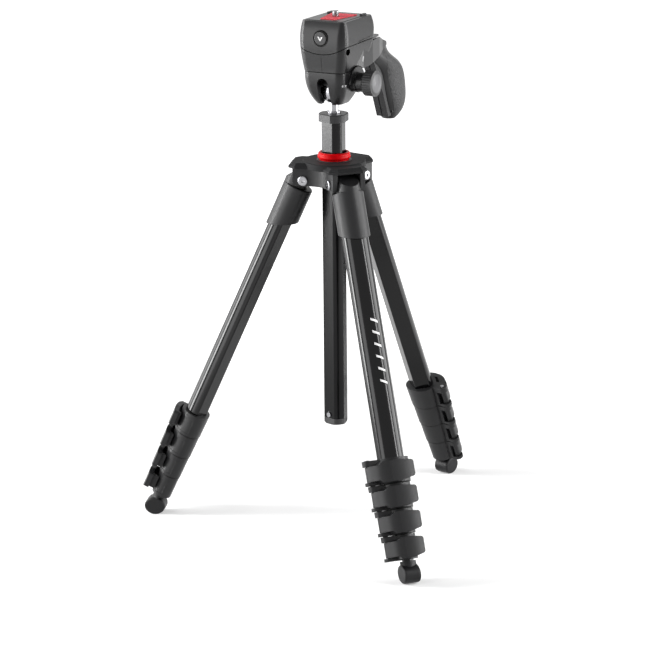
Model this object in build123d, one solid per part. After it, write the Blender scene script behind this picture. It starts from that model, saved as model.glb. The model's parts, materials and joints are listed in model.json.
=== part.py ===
from build123d import *
import os
from math import cos, radians, sin, sqrt, tan

# Travel tripod: three folding five-section legs with flip locks, a sliding centre column and a
# pistol-grip ball head. Millimetres, +Z up. Everything is built round the column axis with z = 0 on the
# leg hinges, and is moved at the end so that the middle of its footprint on the ground is the origin.

# ---- fits and clearances
RUNNING_GAP = 0.05          # shaft in its hole, per side
FREE_GAP = 0.3              # between pieces that slide or turn past each other
SEAM_GAP = 0.6              # visible parting line between mouldings

# ---- legs
LEG_NAMES = ("front", "left", "right")
LEG_AZIMUTHS = (0.0, -120.0, 120.0)      # from -Y, turning towards +X
LEG_LEAN = 24.1                           # degrees from vertical when open
HINGE_RADIUS = 26.4                       # column axis to hinge pin
TUBE_OFFSET = 1.9                         # tube centre line outside the hinge pin
TUBE_R = 12.3                             # top tube, round outer side
TUBE_FLAT = 7.0                           # centre line of the top tube to its two inner flats
TUBE_ROOF = 30.0                          # degrees, tilt of each inner flat
TUBE_WALL = 1.1
TUBE_NEST_GAP = 0.4                       # between one tube and the next, per side
TUBE_CORNER = 1.5                         # at the ridge and at the edges of the flats
SECTION_TRAVEL = 200.0                    # each section pulls out by this
TOP_TUBE_DROP = 16.0                      # hinge to the top end of the top tube
INNER_TUBE_DROP = 4.0                     # each inner tube starts this much lower

# ---- leg casting at the hinge
CASTING_WALL = 2.0
CASTING_BACK = 4.8                        # wall behind the ridge of the tube
CASTING_RIM = 42.2                        # hinge down to the lower rim, level when the leg is open
CASTING_SHOULDER = 9.4                    # hinge to the side shoulders
CASTING_EASE = 1.2                        # round on the shoulders
CASTING_NOSE_R = 9.0
CASTING_NOSE_PROUD = 0.4                  # nose stands outside the sleeve by this
CASTING_TOP = 10.6                        # highest point above the hinge
CASTING_CONE_LOW = 40.0                   # hinge to where the nose runs out on the sleeve
CASTING_BEVEL = 45.0                      # degrees, the slanted end
CASTING_BEVEL_DROP = 6.0                  # hinge down to the bevel's edge on the outer face
BARREL_R = 7.0

# ---- flip locks
LOCK_COUNT = 4
LOCK_TOP = 249.6                          # hinge to the top of the first collar
LOCK_PITCH = 22.6
COLLAR_GAP = 0.6                          # between stacked collars
COLLAR_HEIGHT = LOCK_PITCH - COLLAR_GAP
COLLAR_WALL = 2.4
COLLAR_FLANGE = 0.9                       # flange stands proud of the band
EAR_THICKNESS = 3.0                       # lower ear
UPPER_EAR_THICKNESS = 5.0
COLLAR_BACK_STEP = 0.9                    # extra wall behind for each lower collar
COLLAR_TAPER = 0.5                        # rim narrows by this much of the step to the next tube
COLLAR_BACK = 2.0                         # wall behind the ridge
EAR_R = 4.6
EAR_SIDE = 9.0                            # hinge centre outside the band
EAR_WEB = 4.5                             # web between the ears, outside the band
EAR_FORWARD = 3.4                         # hinge centre towards the round face
COLLAR_SHOULDER = 11.0                    # depth of the pocket that holds the upper tube
KNUCKLE_R = 2.7
PIN_R = 1.5
PIN_HEAD_R = 2.4
PIN_HEAD_T = 0.5
LEVER_HEIGHT = 18.7
LEVER_THICKNESS = 4.6
LEVER_OVERHANG = -1.4                     # free end past the side of the band
LEVER_STANDOFF = 2.6                      # lever to band at the middle of the round face
LEVER_CROWN = 1.6                         # bow of the plate from its middle to its free end
LEVER_CORNER = 2.6
LEVER_RIB = 3.0                           # rib behind the lever that closes on the collar
EAR_STEP = 0.6                            # each lower hinge stands this much nearer ...
LEVER_STEP_OUT = 1.0                      # ... and its lever reaches this much further
LEVER_FACE_STEP = 0.9                     # each lower lever stands off by this much more
LEVER_DROP = 0.9                          # lever middle below the middle of the collar
LEVER_TAPER = 3.0                         # off the lower edge at the free end, and half as much above
LEVER_RAMP = 3.6
LEVER_BEND = 0.74                         # where the lever turns the corner, as a share of the hinge reach
LEVER_OPEN = 100.0                        # degrees

# ---- feet
FOOT_LENGTH = 9.8                         # half size along the ground
FOOT_RISE = 8.3                           # half height
FOOT_WIDTH = 15.5
FOOT_OUT = 1.6                            # block outside the tube line by this
FOOT_EDGE = 1.8
FOOT_BELOW_LOCKS = 11.2                   # last lock to the middle of the foot
FOOT_DROP = LOCK_TOP + LOCK_COUNT * LOCK_PITCH + FOOT_BELOW_LOCKS   # from the hinge
FOOT_NECK_WALL = 1.6
FOOT_NECK_RISE = 10.4
FOOT_BORE_FLOOR = 3.0

# ---- spider
CHEEK_GAP = 11.0                          # half width of each leg slot
CHEEK_THICKNESS = 4.5
CHEEK_REACH = 35.8                        # column axis to the cheek ends
CHEEK_SWEEP_R = 24.0                      # concave wall between neighbouring legs
HUB_BOTTOM = -5.2
HUB_TOP = 11.2
HUB_EDGE = 0.6
SLOT_ROOT = 15.6
BOLT_R = 3.0
BOLT_HEAD_R = 4.6
BOLT_HEAD_T = 2.0
BOLT_DOME = 1.2
BOLT_SOCKET = 1.5
PLATE_THICKNESS = 5.9
LOBE_DROP = 1.0                           # lobes lie this much lower than the round middle
PLATE_LIP = 3.0                           # plate overhangs the walls
PLATE_REACH = 40.0
PLATE_SWEEP_R = 26.0
PLATE_CORNER = 6.5                        # cut off each lobe corner
PLATE_BEVEL = 3.0                         # bevel along the upper edge
DISC_R = 28.5                             # round middle of the plate
DISC_EDGE = 0.8

# ---- centre column
COLUMN_R = 11.1
COLUMN_FLAT = 0.82                        # distance of each flat, as a share of the radius
COLUMN_WALL = 1.3
COLUMN_TURN = -6.0                        # flats turned from the middle between the legs
COLUMN_TOP = 56.4
COLUMN_BOTTOM = -225.7
CAP_R = 13.7
CAP_BOTTOM = 52.4
CAP_TOP = 59.6
PLUG_RIM = 5.8
PLUG_DEPTH = 12.0
PLUG_EDGE = 1.2
PLUG_SCREW_R = 2.3
PLUG_SCREW_RISE = 3.2
BUSH_WALL = 1.9
BUSH_LIP = 0.8
WASHER_R = 15.7
WASHER_T = 0.4
RING_R = 14.9                             # at mid height
RING_FOOT_R = 13.6
RING_CROWN_R = 13.5
RING_HEIGHT = 6.8
RING_EDGE = 0.8
RING_BELLY = 0.45                         # height of the widest place, as a share
CAP_EDGE = 0.7
CAP_FLAT = 0.87
PLATE_TOP = HUB_TOP + PLATE_THICKNESS
WASHER_TOP = PLATE_TOP + WASHER_T
RING_TOP = WASHER_TOP + RING_HEIGHT
COLUMN_DROP = CAP_BOTTOM - RING_TOP - FREE_GAP    # travel down until the cap meets the ring
COLUMN_LIFT = 190.0

# ---- ball head, measured from the ball centre; its front faces -Y before it is panned
HEAD_PAN = -49.5
BALL_R = 12.0
BALL_RISE = 20.9                          # ball centre above the cap
STEM_R = 4.65
STEM_FLANGE_R = 6.2
STEM_FLANGE_T = 1.9
STEM_END_GAP = 0.2
STEM_IN_BALL = 4.8                        # stem stands this deep in the ball
STEM_DEPTH = 6.0                          # stem socket in the cap
SEAT_WALL = 2.7
SEAT_EDGE = 4.2                           # lower rim of the hidden seat
CUP_TOP = 18.7
CUP_BOTTOM = -11.0
CUP_MOUTH_R = 9.2
SLOT_HALF = 5.5
SLOT_TOP = 13.5
SEAM_FRONT = 36.2                         # lowest point of the curved parting line, at the front
SEAM_RISE = 5.0                           # parting line climbs by this ...
SEAM_SPAN = 20.0                          # ... over this distance from the middle
SEAM_TILT = 1.5                           # degrees, climbs to the back
HEAD_TOP = 64.4
HEAD_CORNER = 8.0
SHELL_SCREW_R = 2.9
SHELL_SCREW_DEPTH = 5.0
SHELL_SCREW_AZIMUTH = 56.0                # from the front towards the knob
SHELL_SCREW_HEIGHT = 38.0

# height, half width, reach to the front, reach to the back, corner radius
CUP_SECTIONS = (
    (CUP_BOTTOM, 12.5, 13.0, 10.5, 7.0),
    (-2.0, 17.6, 18.0, 15.5, HEAD_CORNER),
    (CUP_TOP, 20.5, 21.5, 20.0, HEAD_CORNER),
)
SHELL_SECTIONS = (
    (CUP_TOP, 20.7, 21.7, 24.0, HEAD_CORNER),
    (36.0, 23.2, 23.4, 34.0, HEAD_CORNER),
    (50.0, 23.9, 23.6, 39.0, HEAD_CORNER),
    (HEAD_TOP, 21.4, 19.8, 35.0, HEAD_CORNER / 2),
)
# height, middle of the depth, half depth, half width
GRIP_SECTIONS = (
    (34.0, 69.0, 16.0, 9.0),
    (26.0, 74.0, 21.0, 11.0),
    (12.5, 91.0, 21.8, 12.4),
    (-3.4, 106.0, 22.5, 13.2),
    (-17.7, 110.0, 21.5, 13.2),
    (-30.0, 112.0, 18.0, 12.6),
    (-39.0, 110.5, 11.5, 10.2),
    (-44.5, 108.0, 5.0, 6.0),
)
SHELL_BACK = 24.5                         # parting gap under the shell ends here
ARM_END = 85.0                            # ball centre to the end of the arm
ARM_HALF_END = 10.8
LIP_END = 55.0
LIP_TOP = 41.0                            # height of both at the lip's end
LIP_HALF_END = 15.5
ARM_TIP = 3.0                             # rounding of the arm's end
ARM_TIP_TOP = 32.6
# underside of the arm: depth and height; its plan and the lip's: half width and depth
ARM_UNDER = ((-4.0, CUP_TOP), (24.0, CUP_TOP + 0.8), (68.0, 24.8), (ARM_END - ARM_TIP, 28.2))
ARM_PLAN = ((20.0, -4.0), (23.2, 14.0), (22.2, 34.0), (18.2, LIP_END))
LIP_SIDE = ((-14.0, 41.2), (8.0, 45.2), (34.0, 47.0), (LIP_END - ARM_TIP, 44.0))
LIP_PLAN = ((22.2, -14.0), (24.6, 6.0), (24.2, 26.0), (18.8, LIP_END - ARM_TIP))
TRIGGER_HALF = 6.0
TRIGGER_DEPTH = 12.0
TRIGGER_TRAVEL = 4.0                      # degrees
TRIGGER_ROOM = 6.0                        # behind the blade
TRIGGER_GROOVE_HALF = 0.5
TRIGGER_GROOVE_DEPTH = 1.2
TRIGGER_PIN_END = 2.0                     # pivot pin into each side of the grip
TRIGGER_PIVOT_DEPTH = 6.0                 # pivot behind the blade's front edge ...
TRIGGER_PIVOT_RISE = 4.5                  # ... and above its lower end
GRIP_TOP_GAP = 3.0                        # grip below the parting line
TRIGGER_PIVOT_R = 1.5
PLATE_HALF = 18.3
PLATE_FRONT = 17.2
PLATE_BACK = 30.6
PLATE_THICK = 4.2
PLATE_PROUD = 0.4
STOP_HEIGHT = 1.3                         # raised stops at the back corners of the camera plate
STOP_WIDTH = 2.6
STOP_LENGTH = 8.0
STOP_Y = 26.0                             # middle of the stops
PLATE_CORNER_R = 2.5
PLATE_RIM = 0.5
PAD_FRONT_HALF = 6.8
PAD_BACK_HALF = 12.5
PAD_FRONT = 11.0
PAD_BACK = 21.8
PAD_T = 1.6
PAD_PROUD = 0.8
CAMERA_SCREW_R = 3.175                    # 1/4 inch tripod screw
CAMERA_SCREW_Y = 5.0                      # behind the ball
CAMERA_SCREW_TOP = 70.9
CAMERA_SCREW_HEAD_R = 6.5
CAMERA_SCREW_HEAD_T = 1.8
SCREW_NECK_R = 2.7                        # undercut that keeps the screw in the plate
SCREW_TIP = 0.5                           # chamfer at the tip
BUTTON_R = 6.0
BUTTON_HEIGHT = 49.8
BUTTON_PROUD = 1.0
BUTTON_LENGTH = 7.0
BUTTON_TRAVEL = 2.5
BUTTON_EDGE = 0.6
KNOB_Y = 3.0
KNOB_Z = 8.4
KNOB_R = 11.6
KNOB_IN = 31.3
KNOB_OUT = 41.4
KNOB_DOME = 1.8
KNOB_RIBS = 28
KNOB_RIB_R = 0.7
KNOB_RIM = 1.2
SPINDLE_R = 5.0
BOSS_R = 9.2
BOSS_OUT = 24.5
ARCH_R = 14.0                             # upper half of the boss, which rises into the middle shell
ARCH_OUT = 23.0
BOSS_ROOT = 16.0                          # the arch starts here
SPINDLE_ROOT = 4.0                        # spindle stands this deep in the boss ...
SPINDLE_END = 3.8                         # ... and this deep in the knob
SPINDLE_COLLAR_R = 8.6


def ring_spot(azimuth, shape):
    """Turn a shape made at the front (-Y) to another azimuth."""
    return Rot(0, 0, azimuth) * shape


def leg_place(azimuth, shape):
    """Take a shape from the upright leg frame (hinge at the origin) to its open position."""
    return Rot(0, 0, azimuth) * (Pos(0, -HINGE_RADIUS, 0) * (Rot(-LEG_LEAN, 0, 0) * shape))


def tube_profile(radius, flat, corner=TUBE_CORNER):
    """Tube outline about its centre line: round towards -Y, two flats with a ridge towards +Y."""
    face = Rot(0, 0, -90) * Circle(radius)
    for tilt in (-TUBE_ROOF, TUBE_ROOF):
        face -= Rot(0, 0, tilt) * (Pos(0, flat + radius) * Rectangle(4 * radius, 2 * radius))
    return fillet(face.vertices().filter_by(lambda v: v.Y > -radius / 2), corner)


def section_size(number):
    """Outside radius and flat distance of a leg tube, 1 at the top."""
    step = (TUBE_WALL + TUBE_NEST_GAP) * (number - 1)
    return TUBE_R - step, TUBE_FLAT - step


def oval_profile(number, grow, behind_grow):
    """Outline round a tube: half circle towards -Y, half ellipse towards +Y."""
    radius, flat = section_size(number)
    across = radius + grow
    behind = flat / cos(radians(TUBE_ROOF)) + behind_grow
    half_plane = Pos(0, across) * Rectangle(4 * across, 2 * across)
    return (Circle(across) - half_plane) + (Ellipse(across, behind) & half_plane)


def upright(profile, low, high):
    """Extrude a flat outline between two heights."""
    return extrude(Pos(0, 0, low) * profile, amount=high - low)


def collar_top(number):
    """Height of a collar's top face in the leg frame."""
    return -(LOCK_TOP + (number - 1) * LOCK_PITCH)


def leg_tube(number):
    """One hollow leg tube, retracted."""
    radius, flat = section_size(number)
    top = -(TOP_TUBE_DROP + (number - 1) * INNER_TUBE_DROP)
    low = collar_top(number) - COLLAR_SHOULDER if number <= LOCK_COUNT else -(FOOT_DROP - FOOT_BORE_FLOOR)
    ring = tube_profile(radius, flat) - tube_profile(radius - TUBE_WALL, flat - TUBE_WALL)
    return Pos(0, -TUBE_OFFSET, 0) * upright(ring, low, top)


def lock_hinge(number):
    """Where a lever's pin stands, across and along the depth of the leg."""
    side = EAR_SIDE - EAR_STEP * (number - 1)
    return -(section_size(number)[0] + COLLAR_WALL + side), -TUBE_OFFSET - EAR_FORWARD


def collar_back(number):
    """Wall of a collar behind the tube's ridge."""
    return COLLAR_BACK + COLLAR_BACK_STEP * (number - 1)


def rim_profile(number, gap):
    """Outline of a collar's full-height rim, on the tube's centre line."""
    grow = COLLAR_WALL + COLLAR_FLANGE + gap
    return Pos(0, -TUBE_OFFSET) * oval_profile(number, grow, collar_back(number) + COLLAR_FLANGE + gap)


def ear_profile(number, gap):
    """Outline of the ears that hold a lever's pin."""
    hinge_x, hinge_y = lock_hinge(number)
    tab = Pos(hinge_x / 2, hinge_y) * Rectangle(-hinge_x, 2 * (EAR_R + gap))
    return tab + Pos(hinge_x, hinge_y) * Circle(EAR_R + gap)


def collar(number):
    """Flip-lock collar: a rim recessed for the lever, with an ear at each end that holds its pin."""
    radius, flat = section_size(number)
    next_radius, next_flat = section_size(number + 1)
    top = collar_top(number)
    low = top - COLLAR_HEIGHT
    pocket_low = low + EAR_THICKNESS
    pocket_top = top - UPPER_EAR_THICKNESS
    hinge_x, hinge_y = lock_hinge(number)
    lower_rim = Pos(0, 0, low) * rim_profile(number + COLLAR_TAPER, 0)
    rim = loft([lower_rim, Pos(0, 0, top) * rim_profile(number, 0)])
    ear = ear_profile(number, 0)
    body = rim + upright(ear, low, pocket_low) + upright(ear, pocket_top, top)
    outer_half = Pos(0, -TUBE_OFFSET - 2 * radius) * Rectangle(8 * radius, 4 * radius)
    recess = outer_half - Pos(0, -TUBE_OFFSET) * oval_profile(number, COLLAR_WALL, collar_back(number))
    body -= upright(recess, pocket_low, pocket_top)
    across = radius + COLLAR_WALL
    web = Pos(-across / 2 - EAR_WEB / 2, hinge_y + EAR_R / 2) * Rectangle(across + EAR_WEB, EAR_R)
    body += upright(web, pocket_low, pocket_top)
    upper_bore = tube_profile(radius + RUNNING_GAP, flat + RUNNING_GAP)
    lower_bore = tube_profile(next_radius + FREE_GAP, next_flat + FREE_GAP)
    body -= Pos(0, -TUBE_OFFSET, 0) * upright(upper_bore, top - COLLAR_SHOULDER, top)
    body -= Pos(0, -TUBE_OFFSET, 0) * upright(lower_bore, low, top)
    return body - Pos(hinge_x, hinge_y, (low + top) / 2) * Cylinder(PIN_R + RUNNING_GAP, 2 * COLLAR_HEIGHT)


def lever(number):
    """Flip lever that stands off the round face, and its pin."""
    across = section_size(number)[0] + COLLAR_WALL
    middle = collar_top(number) - COLLAR_HEIGHT / 2
    hinge_x, hinge_y = lock_hinge(number)
    low = -LEVER_DROP - LEVER_HEIGHT / 2
    high = -LEVER_DROP + LEVER_HEIGHT / 2
    knuckle_low = -COLLAR_HEIGHT / 2 + EAR_THICKNESS + FREE_GAP
    knuckle_high = COLLAR_HEIGHT / 2 - UPPER_EAR_THICKNESS - FREE_GAP
    face_y = -TUBE_OFFSET - across - LEVER_STANDOFF - LEVER_FACE_STEP * (number - 1)
    end_x = across + LEVER_OVERHANG + LEVER_STEP_OUT * (number - 1)
    end_y = face_y + LEVER_CROWN
    bend_x = hinge_x * LEVER_BEND
    bend_y = (face_y + hinge_y) / 2 - LEVER_THICKNESS
    join = (bend_x / 2, face_y + LEVER_CROWN / 4)
    outline = [
        ThreePointArc((hinge_x - KNUCKLE_R, hinge_y), (bend_x - LEVER_THICKNESS / 2, bend_y),
                      (join[0], join[1] - LEVER_THICKNESS)),
        ThreePointArc((join[0], join[1] - LEVER_THICKNESS), (end_x / 4, face_y - LEVER_THICKNESS),
                      (end_x, end_y - LEVER_THICKNESS)),
        Line((end_x, end_y - LEVER_THICKNESS), (end_x, end_y)),
        ThreePointArc((end_x, end_y), (end_x / 4, face_y), join),
        ThreePointArc(join, (bend_x + LEVER_THICKNESS / 2, bend_y + LEVER_THICKNESS),
                      (hinge_x + KNUCKLE_R, hinge_y)),
        Line((hinge_x + KNUCKLE_R, hinge_y), (hinge_x - KNUCKLE_R, hinge_y)),
    ]
    ramp_x = hinge_x + EAR_R + 2 * FREE_GAP
    left = hinge_x - 2 * EAR_R
    window = make_face(Polyline(
        (left, knuckle_low), (ramp_x, knuckle_low), (ramp_x + LEVER_RAMP / 2, low), (0, low),
        (end_x, low + LEVER_TAPER), (end_x, high - LEVER_TAPER / 2), (0, high),
        (ramp_x + LEVER_RAMP, high), (ramp_x, knuckle_high), (left, knuckle_high), close=True))
    window = fillet(window.vertices().filter_by(lambda v: v.X > end_x - FREE_GAP), LEVER_CORNER)
    body = upright(make_face(outline), low, high) & extrude(Plane.XZ * window, amount=4 * across, both=True)
    rib = Pos(end_x / 2, face_y + across / 2) * Rectangle(LEVER_RIB, across)
    body += upright(rib, low + LEVER_TAPER, high - LEVER_TAPER)
    body -= upright(rim_profile(number, FREE_GAP), low, high)
    body -= upright(ear_profile(number, FREE_GAP), low, knuckle_low) + upright(
        ear_profile(number, FREE_GAP), knuckle_high, COLLAR_HEIGHT / 2)
    body += Pos(hinge_x, hinge_y, 0) * upright(Circle(KNUCKLE_R), knuckle_low, knuckle_high)
    body -= Pos(hinge_x, hinge_y, 0) * Cylinder(PIN_R + RUNNING_GAP, LEVER_HEIGHT)
    pin_head = Pos(0, 0, (COLLAR_HEIGHT + PIN_HEAD_T) / 2) * Cylinder(PIN_HEAD_R, PIN_HEAD_T)
    pin = Cylinder(PIN_R, COLLAR_HEIGHT) + pin_head
    return Pos(0, 0, middle) * body, Pos(hinge_x, hinge_y, middle) * pin


def leg_casting():
    """Casting that hinges on the spider and holds the top tube."""
    across = TUBE_R + CASTING_WALL
    lowest = CASTING_RIM + across
    oval = Pos(0, -TUBE_OFFSET) * oval_profile(1, CASTING_WALL, CASTING_BACK)
    sleeve = upright(oval, -lowest, -CASTING_SHOULDER)
    sleeve = fillet(sleeve.edges().group_by(Axis.Z)[-1], CASTING_EASE)
    face_y = -TUBE_OFFSET - across
    nose_y = face_y - CASTING_NOSE_PROUD + CASTING_NOSE_R
    cone = loft([
        Pos(0, -TUBE_OFFSET, -CASTING_CONE_LOW) * Circle(across - RUNNING_GAP),
        Pos(0, nose_y, CASTING_TOP) * Circle(CASTING_NOSE_R),
    ])
    cone -= Pos(0, across + nose_y, -CASTING_CONE_LOW) * Box(4 * across, 2 * across, CASTING_CONE_LOW)
    barrel = Rot(0, 90, 0) * Cylinder(BARREL_R, 2 * (CHEEK_GAP - FREE_GAP))
    body = sleeve + cone + barrel
    body -= Pos(0, face_y, -CASTING_BEVEL_DROP) * (
        Rot(CASTING_BEVEL, 0, 0) * Pos(0, 0, across) * Box(4 * across, 6 * across, 2 * across))
    body -= Rot(LEG_LEAN, 0, 0) * Pos(0, 0, -CASTING_RIM - across) * Box(4 * across, 8 * across, 2 * across)
    bore = tube_profile(TUBE_R + RUNNING_GAP, TUBE_FLAT + RUNNING_GAP)
    body -= Pos(0, -TUBE_OFFSET, 0) * upright(bore, -lowest - across, -TOP_TUBE_DROP)
    return body - Rot(0, 90, 0) * Cylinder(BOLT_R + RUNNING_GAP, 2 * CHEEK_GAP)


def foot():
    """Rubber foot, level on the ground when the leg is open, whose neck sleeves the last tube."""
    radius, flat = section_size(LOCK_COUNT + 1)
    block = extrude(Plane.YZ * Ellipse(FOOT_LENGTH, FOOT_RISE), amount=FOOT_WIDTH / 2, both=True)
    block = fillet(block.edges(), FOOT_EDGE)
    neck = tube_profile(radius + FOOT_NECK_WALL, flat + FOOT_NECK_WALL)
    bore = tube_profile(radius + RUNNING_GAP, flat + RUNNING_GAP)
    body = Rot(LEG_LEAN, 0, 0) * (Pos(0, -FOOT_OUT, 0) * block) + upright(neck, 0, FOOT_NECK_RISE)
    body -= upright(bore, FOOT_BORE_FLOOR, FOOT_NECK_RISE + FOOT_RISE)
    return Pos(0, -TUBE_OFFSET, -FOOT_DROP) * body


def star(half_width, reach, sweep):
    """Three square lobes, one for each leg, with concave sweeps between them."""
    lobe = Pos(0, -reach / 2) * Rectangle(2 * half_width, reach)
    face = lobe + ring_spot(120, lobe) + ring_spot(-120, lobe)
    inner = face.vertices().filter_by(lambda v: sqrt(v.X ** 2 + v.Y ** 2) < reach * 0.8)
    return fillet(inner, sweep)


def column_profile(radius, share=COLUMN_FLAT):
    """Round with three flats that face between the legs, each at a share of the radius."""
    face = Circle(radius)
    for azimuth in (60, 180, 300):
        flat = Pos(0, -radius * (1 + share)) * Rectangle(2 * radius, 2 * radius)
        face -= ring_spot(azimuth + COLUMN_TURN, flat)
    return face


def spider_hub():
    """Hub with three leg slots, concave walls and the bore for the column bush."""
    cheek_outer = CHEEK_GAP + CHEEK_THICKNESS
    body = upright(star(cheek_outer, CHEEK_REACH, CHEEK_SWEEP_R), HUB_BOTTOM, HUB_TOP)
    slot = Pos(0, -(SLOT_ROOT + CHEEK_REACH), (HUB_BOTTOM + HUB_TOP) / 2) * Box(
        2 * CHEEK_GAP, 2 * CHEEK_REACH, 2 * HUB_TOP - 2 * HUB_BOTTOM)
    bolt = Pos(0, -HINGE_RADIUS, 0) * (Rot(0, 90, 0) * Cylinder(BOLT_R + RUNNING_GAP, 4 * cheek_outer))
    body -= [ring_spot(azimuth, slot) for azimuth in LEG_AZIMUTHS]
    body -= [ring_spot(azimuth, bolt) for azimuth in LEG_AZIMUTHS]
    body -= Cylinder(COLUMN_R + FREE_GAP + BUSH_WALL, 4 * HUB_TOP)
    return chamfer(body.edges().group_by(Axis.Z)[0].filter_by(lambda e: e.length > CHEEK_THICKNESS), HUB_EDGE)


def spider_plate():
    """Cover plate with a bevelled lobe over each leg and a round middle."""
    half = CHEEK_GAP + CHEEK_THICKNESS + PLATE_LIP
    body = upright(star(half, PLATE_REACH, PLATE_SWEEP_R), HUB_TOP, PLATE_TOP - LOBE_DROP)
    corners = body.edges().filter_by(Axis.Z).filter_by(
        lambda e: sqrt(e.center().X ** 2 + e.center().Y ** 2) > PLATE_REACH)
    body = chamfer(corners, PLATE_CORNER)
    body = chamfer(body.edges().group_by(Axis.Z)[-1], PLATE_BEVEL)
    disc = upright(Circle(DISC_R), HUB_TOP, PLATE_TOP)
    body += chamfer(disc.edges().group_by(Axis.Z)[-1], DISC_EDGE)
    return body - Pos(0, 0, HUB_TOP) * Cylinder(COLUMN_R + FREE_GAP + BUSH_WALL, 4 * PLATE_THICKNESS)


def leg_bolts():
    """Hinge bolts with a domed socket head at each end, one for each leg."""
    half = CHEEK_GAP + CHEEK_THICKNESS
    shank = Rot(0, 90, 0) * Cylinder(BOLT_R, 2 * half)
    head = Cylinder(BOLT_HEAD_R, BOLT_HEAD_T)
    head = fillet(head.edges().group_by(Axis.Z)[-1], BOLT_DOME)
    head -= Pos(0, 0, BOLT_HEAD_T / 2) * extrude(RegularPolygon(BOLT_SOCKET, 6), amount=-BOLT_HEAD_T / 2)
    head = Pos(half + BOLT_HEAD_T / 2, 0, 0) * (Rot(0, 90, 0) * head)
    bolt = shank + head + Rot(0, 0, 180) * head
    bolt = Pos(0, -HINGE_RADIUS, 0) * bolt
    return Compound(children=[ring_spot(azimuth, bolt) for azimuth in LEG_AZIMUTHS])


def column_bush():
    """Keyed bush between the hub and the column."""
    outer = Circle(COLUMN_R + FREE_GAP + BUSH_WALL - RUNNING_GAP)
    ring = outer - column_profile(COLUMN_R + FREE_GAP)
    return upright(ring, HUB_BOTTOM - BUSH_LIP, PLATE_TOP)


def clamp_washer():
    """Thin ring that the clamp ring turns on."""
    return upright(Circle(WASHER_R) - Circle(COLUMN_R + FREE_GAP), PLATE_TOP, WASHER_TOP)


def clamp_ring():
    """Chunky twist ring that locks the column, widest at mid height."""
    inner = COLUMN_R + 2 * FREE_GAP
    belly = WASHER_TOP + RING_HEIGHT * RING_BELLY
    lines = [
        Polyline((inner, RING_TOP), (inner, WASHER_TOP), (RING_FOOT_R, WASHER_TOP),
                 (RING_FOOT_R, WASHER_TOP + RING_EDGE)),
        ThreePointArc((RING_FOOT_R, WASHER_TOP + RING_EDGE), (RING_R - RING_EDGE / 2, belly - RING_EDGE * 2),
                      (RING_R, belly)),
        ThreePointArc((RING_R, belly), (RING_R - RING_EDGE / 2, belly + RING_EDGE * 2),
                      (RING_CROWN_R + RING_EDGE, RING_TOP - RING_EDGE)),
        Polyline((RING_CROWN_R + RING_EDGE, RING_TOP - RING_EDGE), (RING_CROWN_R, RING_TOP),
                 (inner, RING_TOP)),
    ]
    return revolve(Plane.XZ * make_face(lines), Axis.Z)


def column_tube():
    """Centre column, closed by the cap and the end plug."""
    ring = column_profile(COLUMN_R) - column_profile(COLUMN_R - COLUMN_WALL)
    body = upright(ring, COLUMN_BOTTOM, COLUMN_TOP)
    return body - plug_screw_shape(PLUG_SCREW_R / 2 + RUNNING_GAP)


def plug_screw_shape(radius):
    """Shank of the plug's retaining screw, through the flat between the left and front legs."""
    shank = Pos(0, -COLUMN_R * COLUMN_FLAT + PLUG_DEPTH / 4, COLUMN_BOTTOM + PLUG_SCREW_RISE) * (
        Rot(90, 0, 0) * Cylinder(radius, PLUG_DEPTH / 2))
    return ring_spot(COLUMN_TURN - 60, shank)


def column_cap():
    """Collar on the column that carries the head's stem."""
    body = upright(column_profile(CAP_R, CAP_FLAT), CAP_BOTTOM, CAP_TOP)
    body = chamfer(body.edges().group_by(Axis.Z)[-1], CAP_EDGE)
    body -= upright(column_profile(COLUMN_R + RUNNING_GAP), CAP_BOTTOM, COLUMN_TOP)
    core = upright(column_profile(COLUMN_R - COLUMN_WALL - RUNNING_GAP), CAP_BOTTOM - STEM_DEPTH, COLUMN_TOP)
    return body + core - Pos(0, 0, CAP_TOP - STEM_DEPTH / 2) * Cylinder(STEM_R + RUNNING_GAP, STEM_DEPTH)


def column_plug():
    """Plug in the lower end of the column."""
    drum = upright(Circle(COLUMN_R), COLUMN_BOTTOM - PLUG_RIM, COLUMN_BOTTOM)
    drum = chamfer(drum.edges().group_by(Axis.Z)[0], PLUG_EDGE)
    rim = drum & upright(column_profile(COLUMN_R), COLUMN_BOTTOM - PLUG_RIM, COLUMN_BOTTOM)
    core_profile = column_profile(COLUMN_R - COLUMN_WALL - RUNNING_GAP)
    core = upright(core_profile, COLUMN_BOTTOM, COLUMN_BOTTOM + PLUG_DEPTH)
    return rim + core - plug_screw_shape(PLUG_SCREW_R / 2 + RUNNING_GAP)


def plug_screw():
    """Retaining screw with a round head on the column's flat."""
    shank = plug_screw_shape(PLUG_SCREW_R / 2)
    head = Pos(0, -COLUMN_R * COLUMN_FLAT - PLUG_SCREW_R / 4, COLUMN_BOTTOM + PLUG_SCREW_RISE) * (
        Rot(90, 0, 0) * Cylinder(PLUG_SCREW_R, PLUG_SCREW_R / 2))
    return shank + ring_spot(COLUMN_TURN - 60, head)


def section_face(height, half_width, front, back, corner):
    """Rounded rectangle at a height of the head."""
    return Pos(0, (back - front) / 2, height) * RectangleRounded(2 * half_width, front + back, corner)


def seam_cutter(height_offset):
    """Everything above the curved parting line between the middle and upper shells."""
    radius = (SEAM_SPAN ** 2 + SEAM_RISE ** 2) / (2 * SEAM_RISE)
    reach = radius * 0.94
    rise = radius - sqrt(radius ** 2 - reach ** 2)
    low = SEAM_FRONT + height_offset
    lines = [
        ThreePointArc((-reach, low + rise), (0, low), (reach, low + rise)),
        Polyline((reach, low + rise), (reach, 2 * HEAD_TOP), (-reach, 2 * HEAD_TOP), (-reach, low + rise)),
    ]
    block = extrude(Plane.XZ * make_face(lines), amount=2 * ARM_END, both=True)
    return Rot(SEAM_TILT, 0, 0) * block


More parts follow.
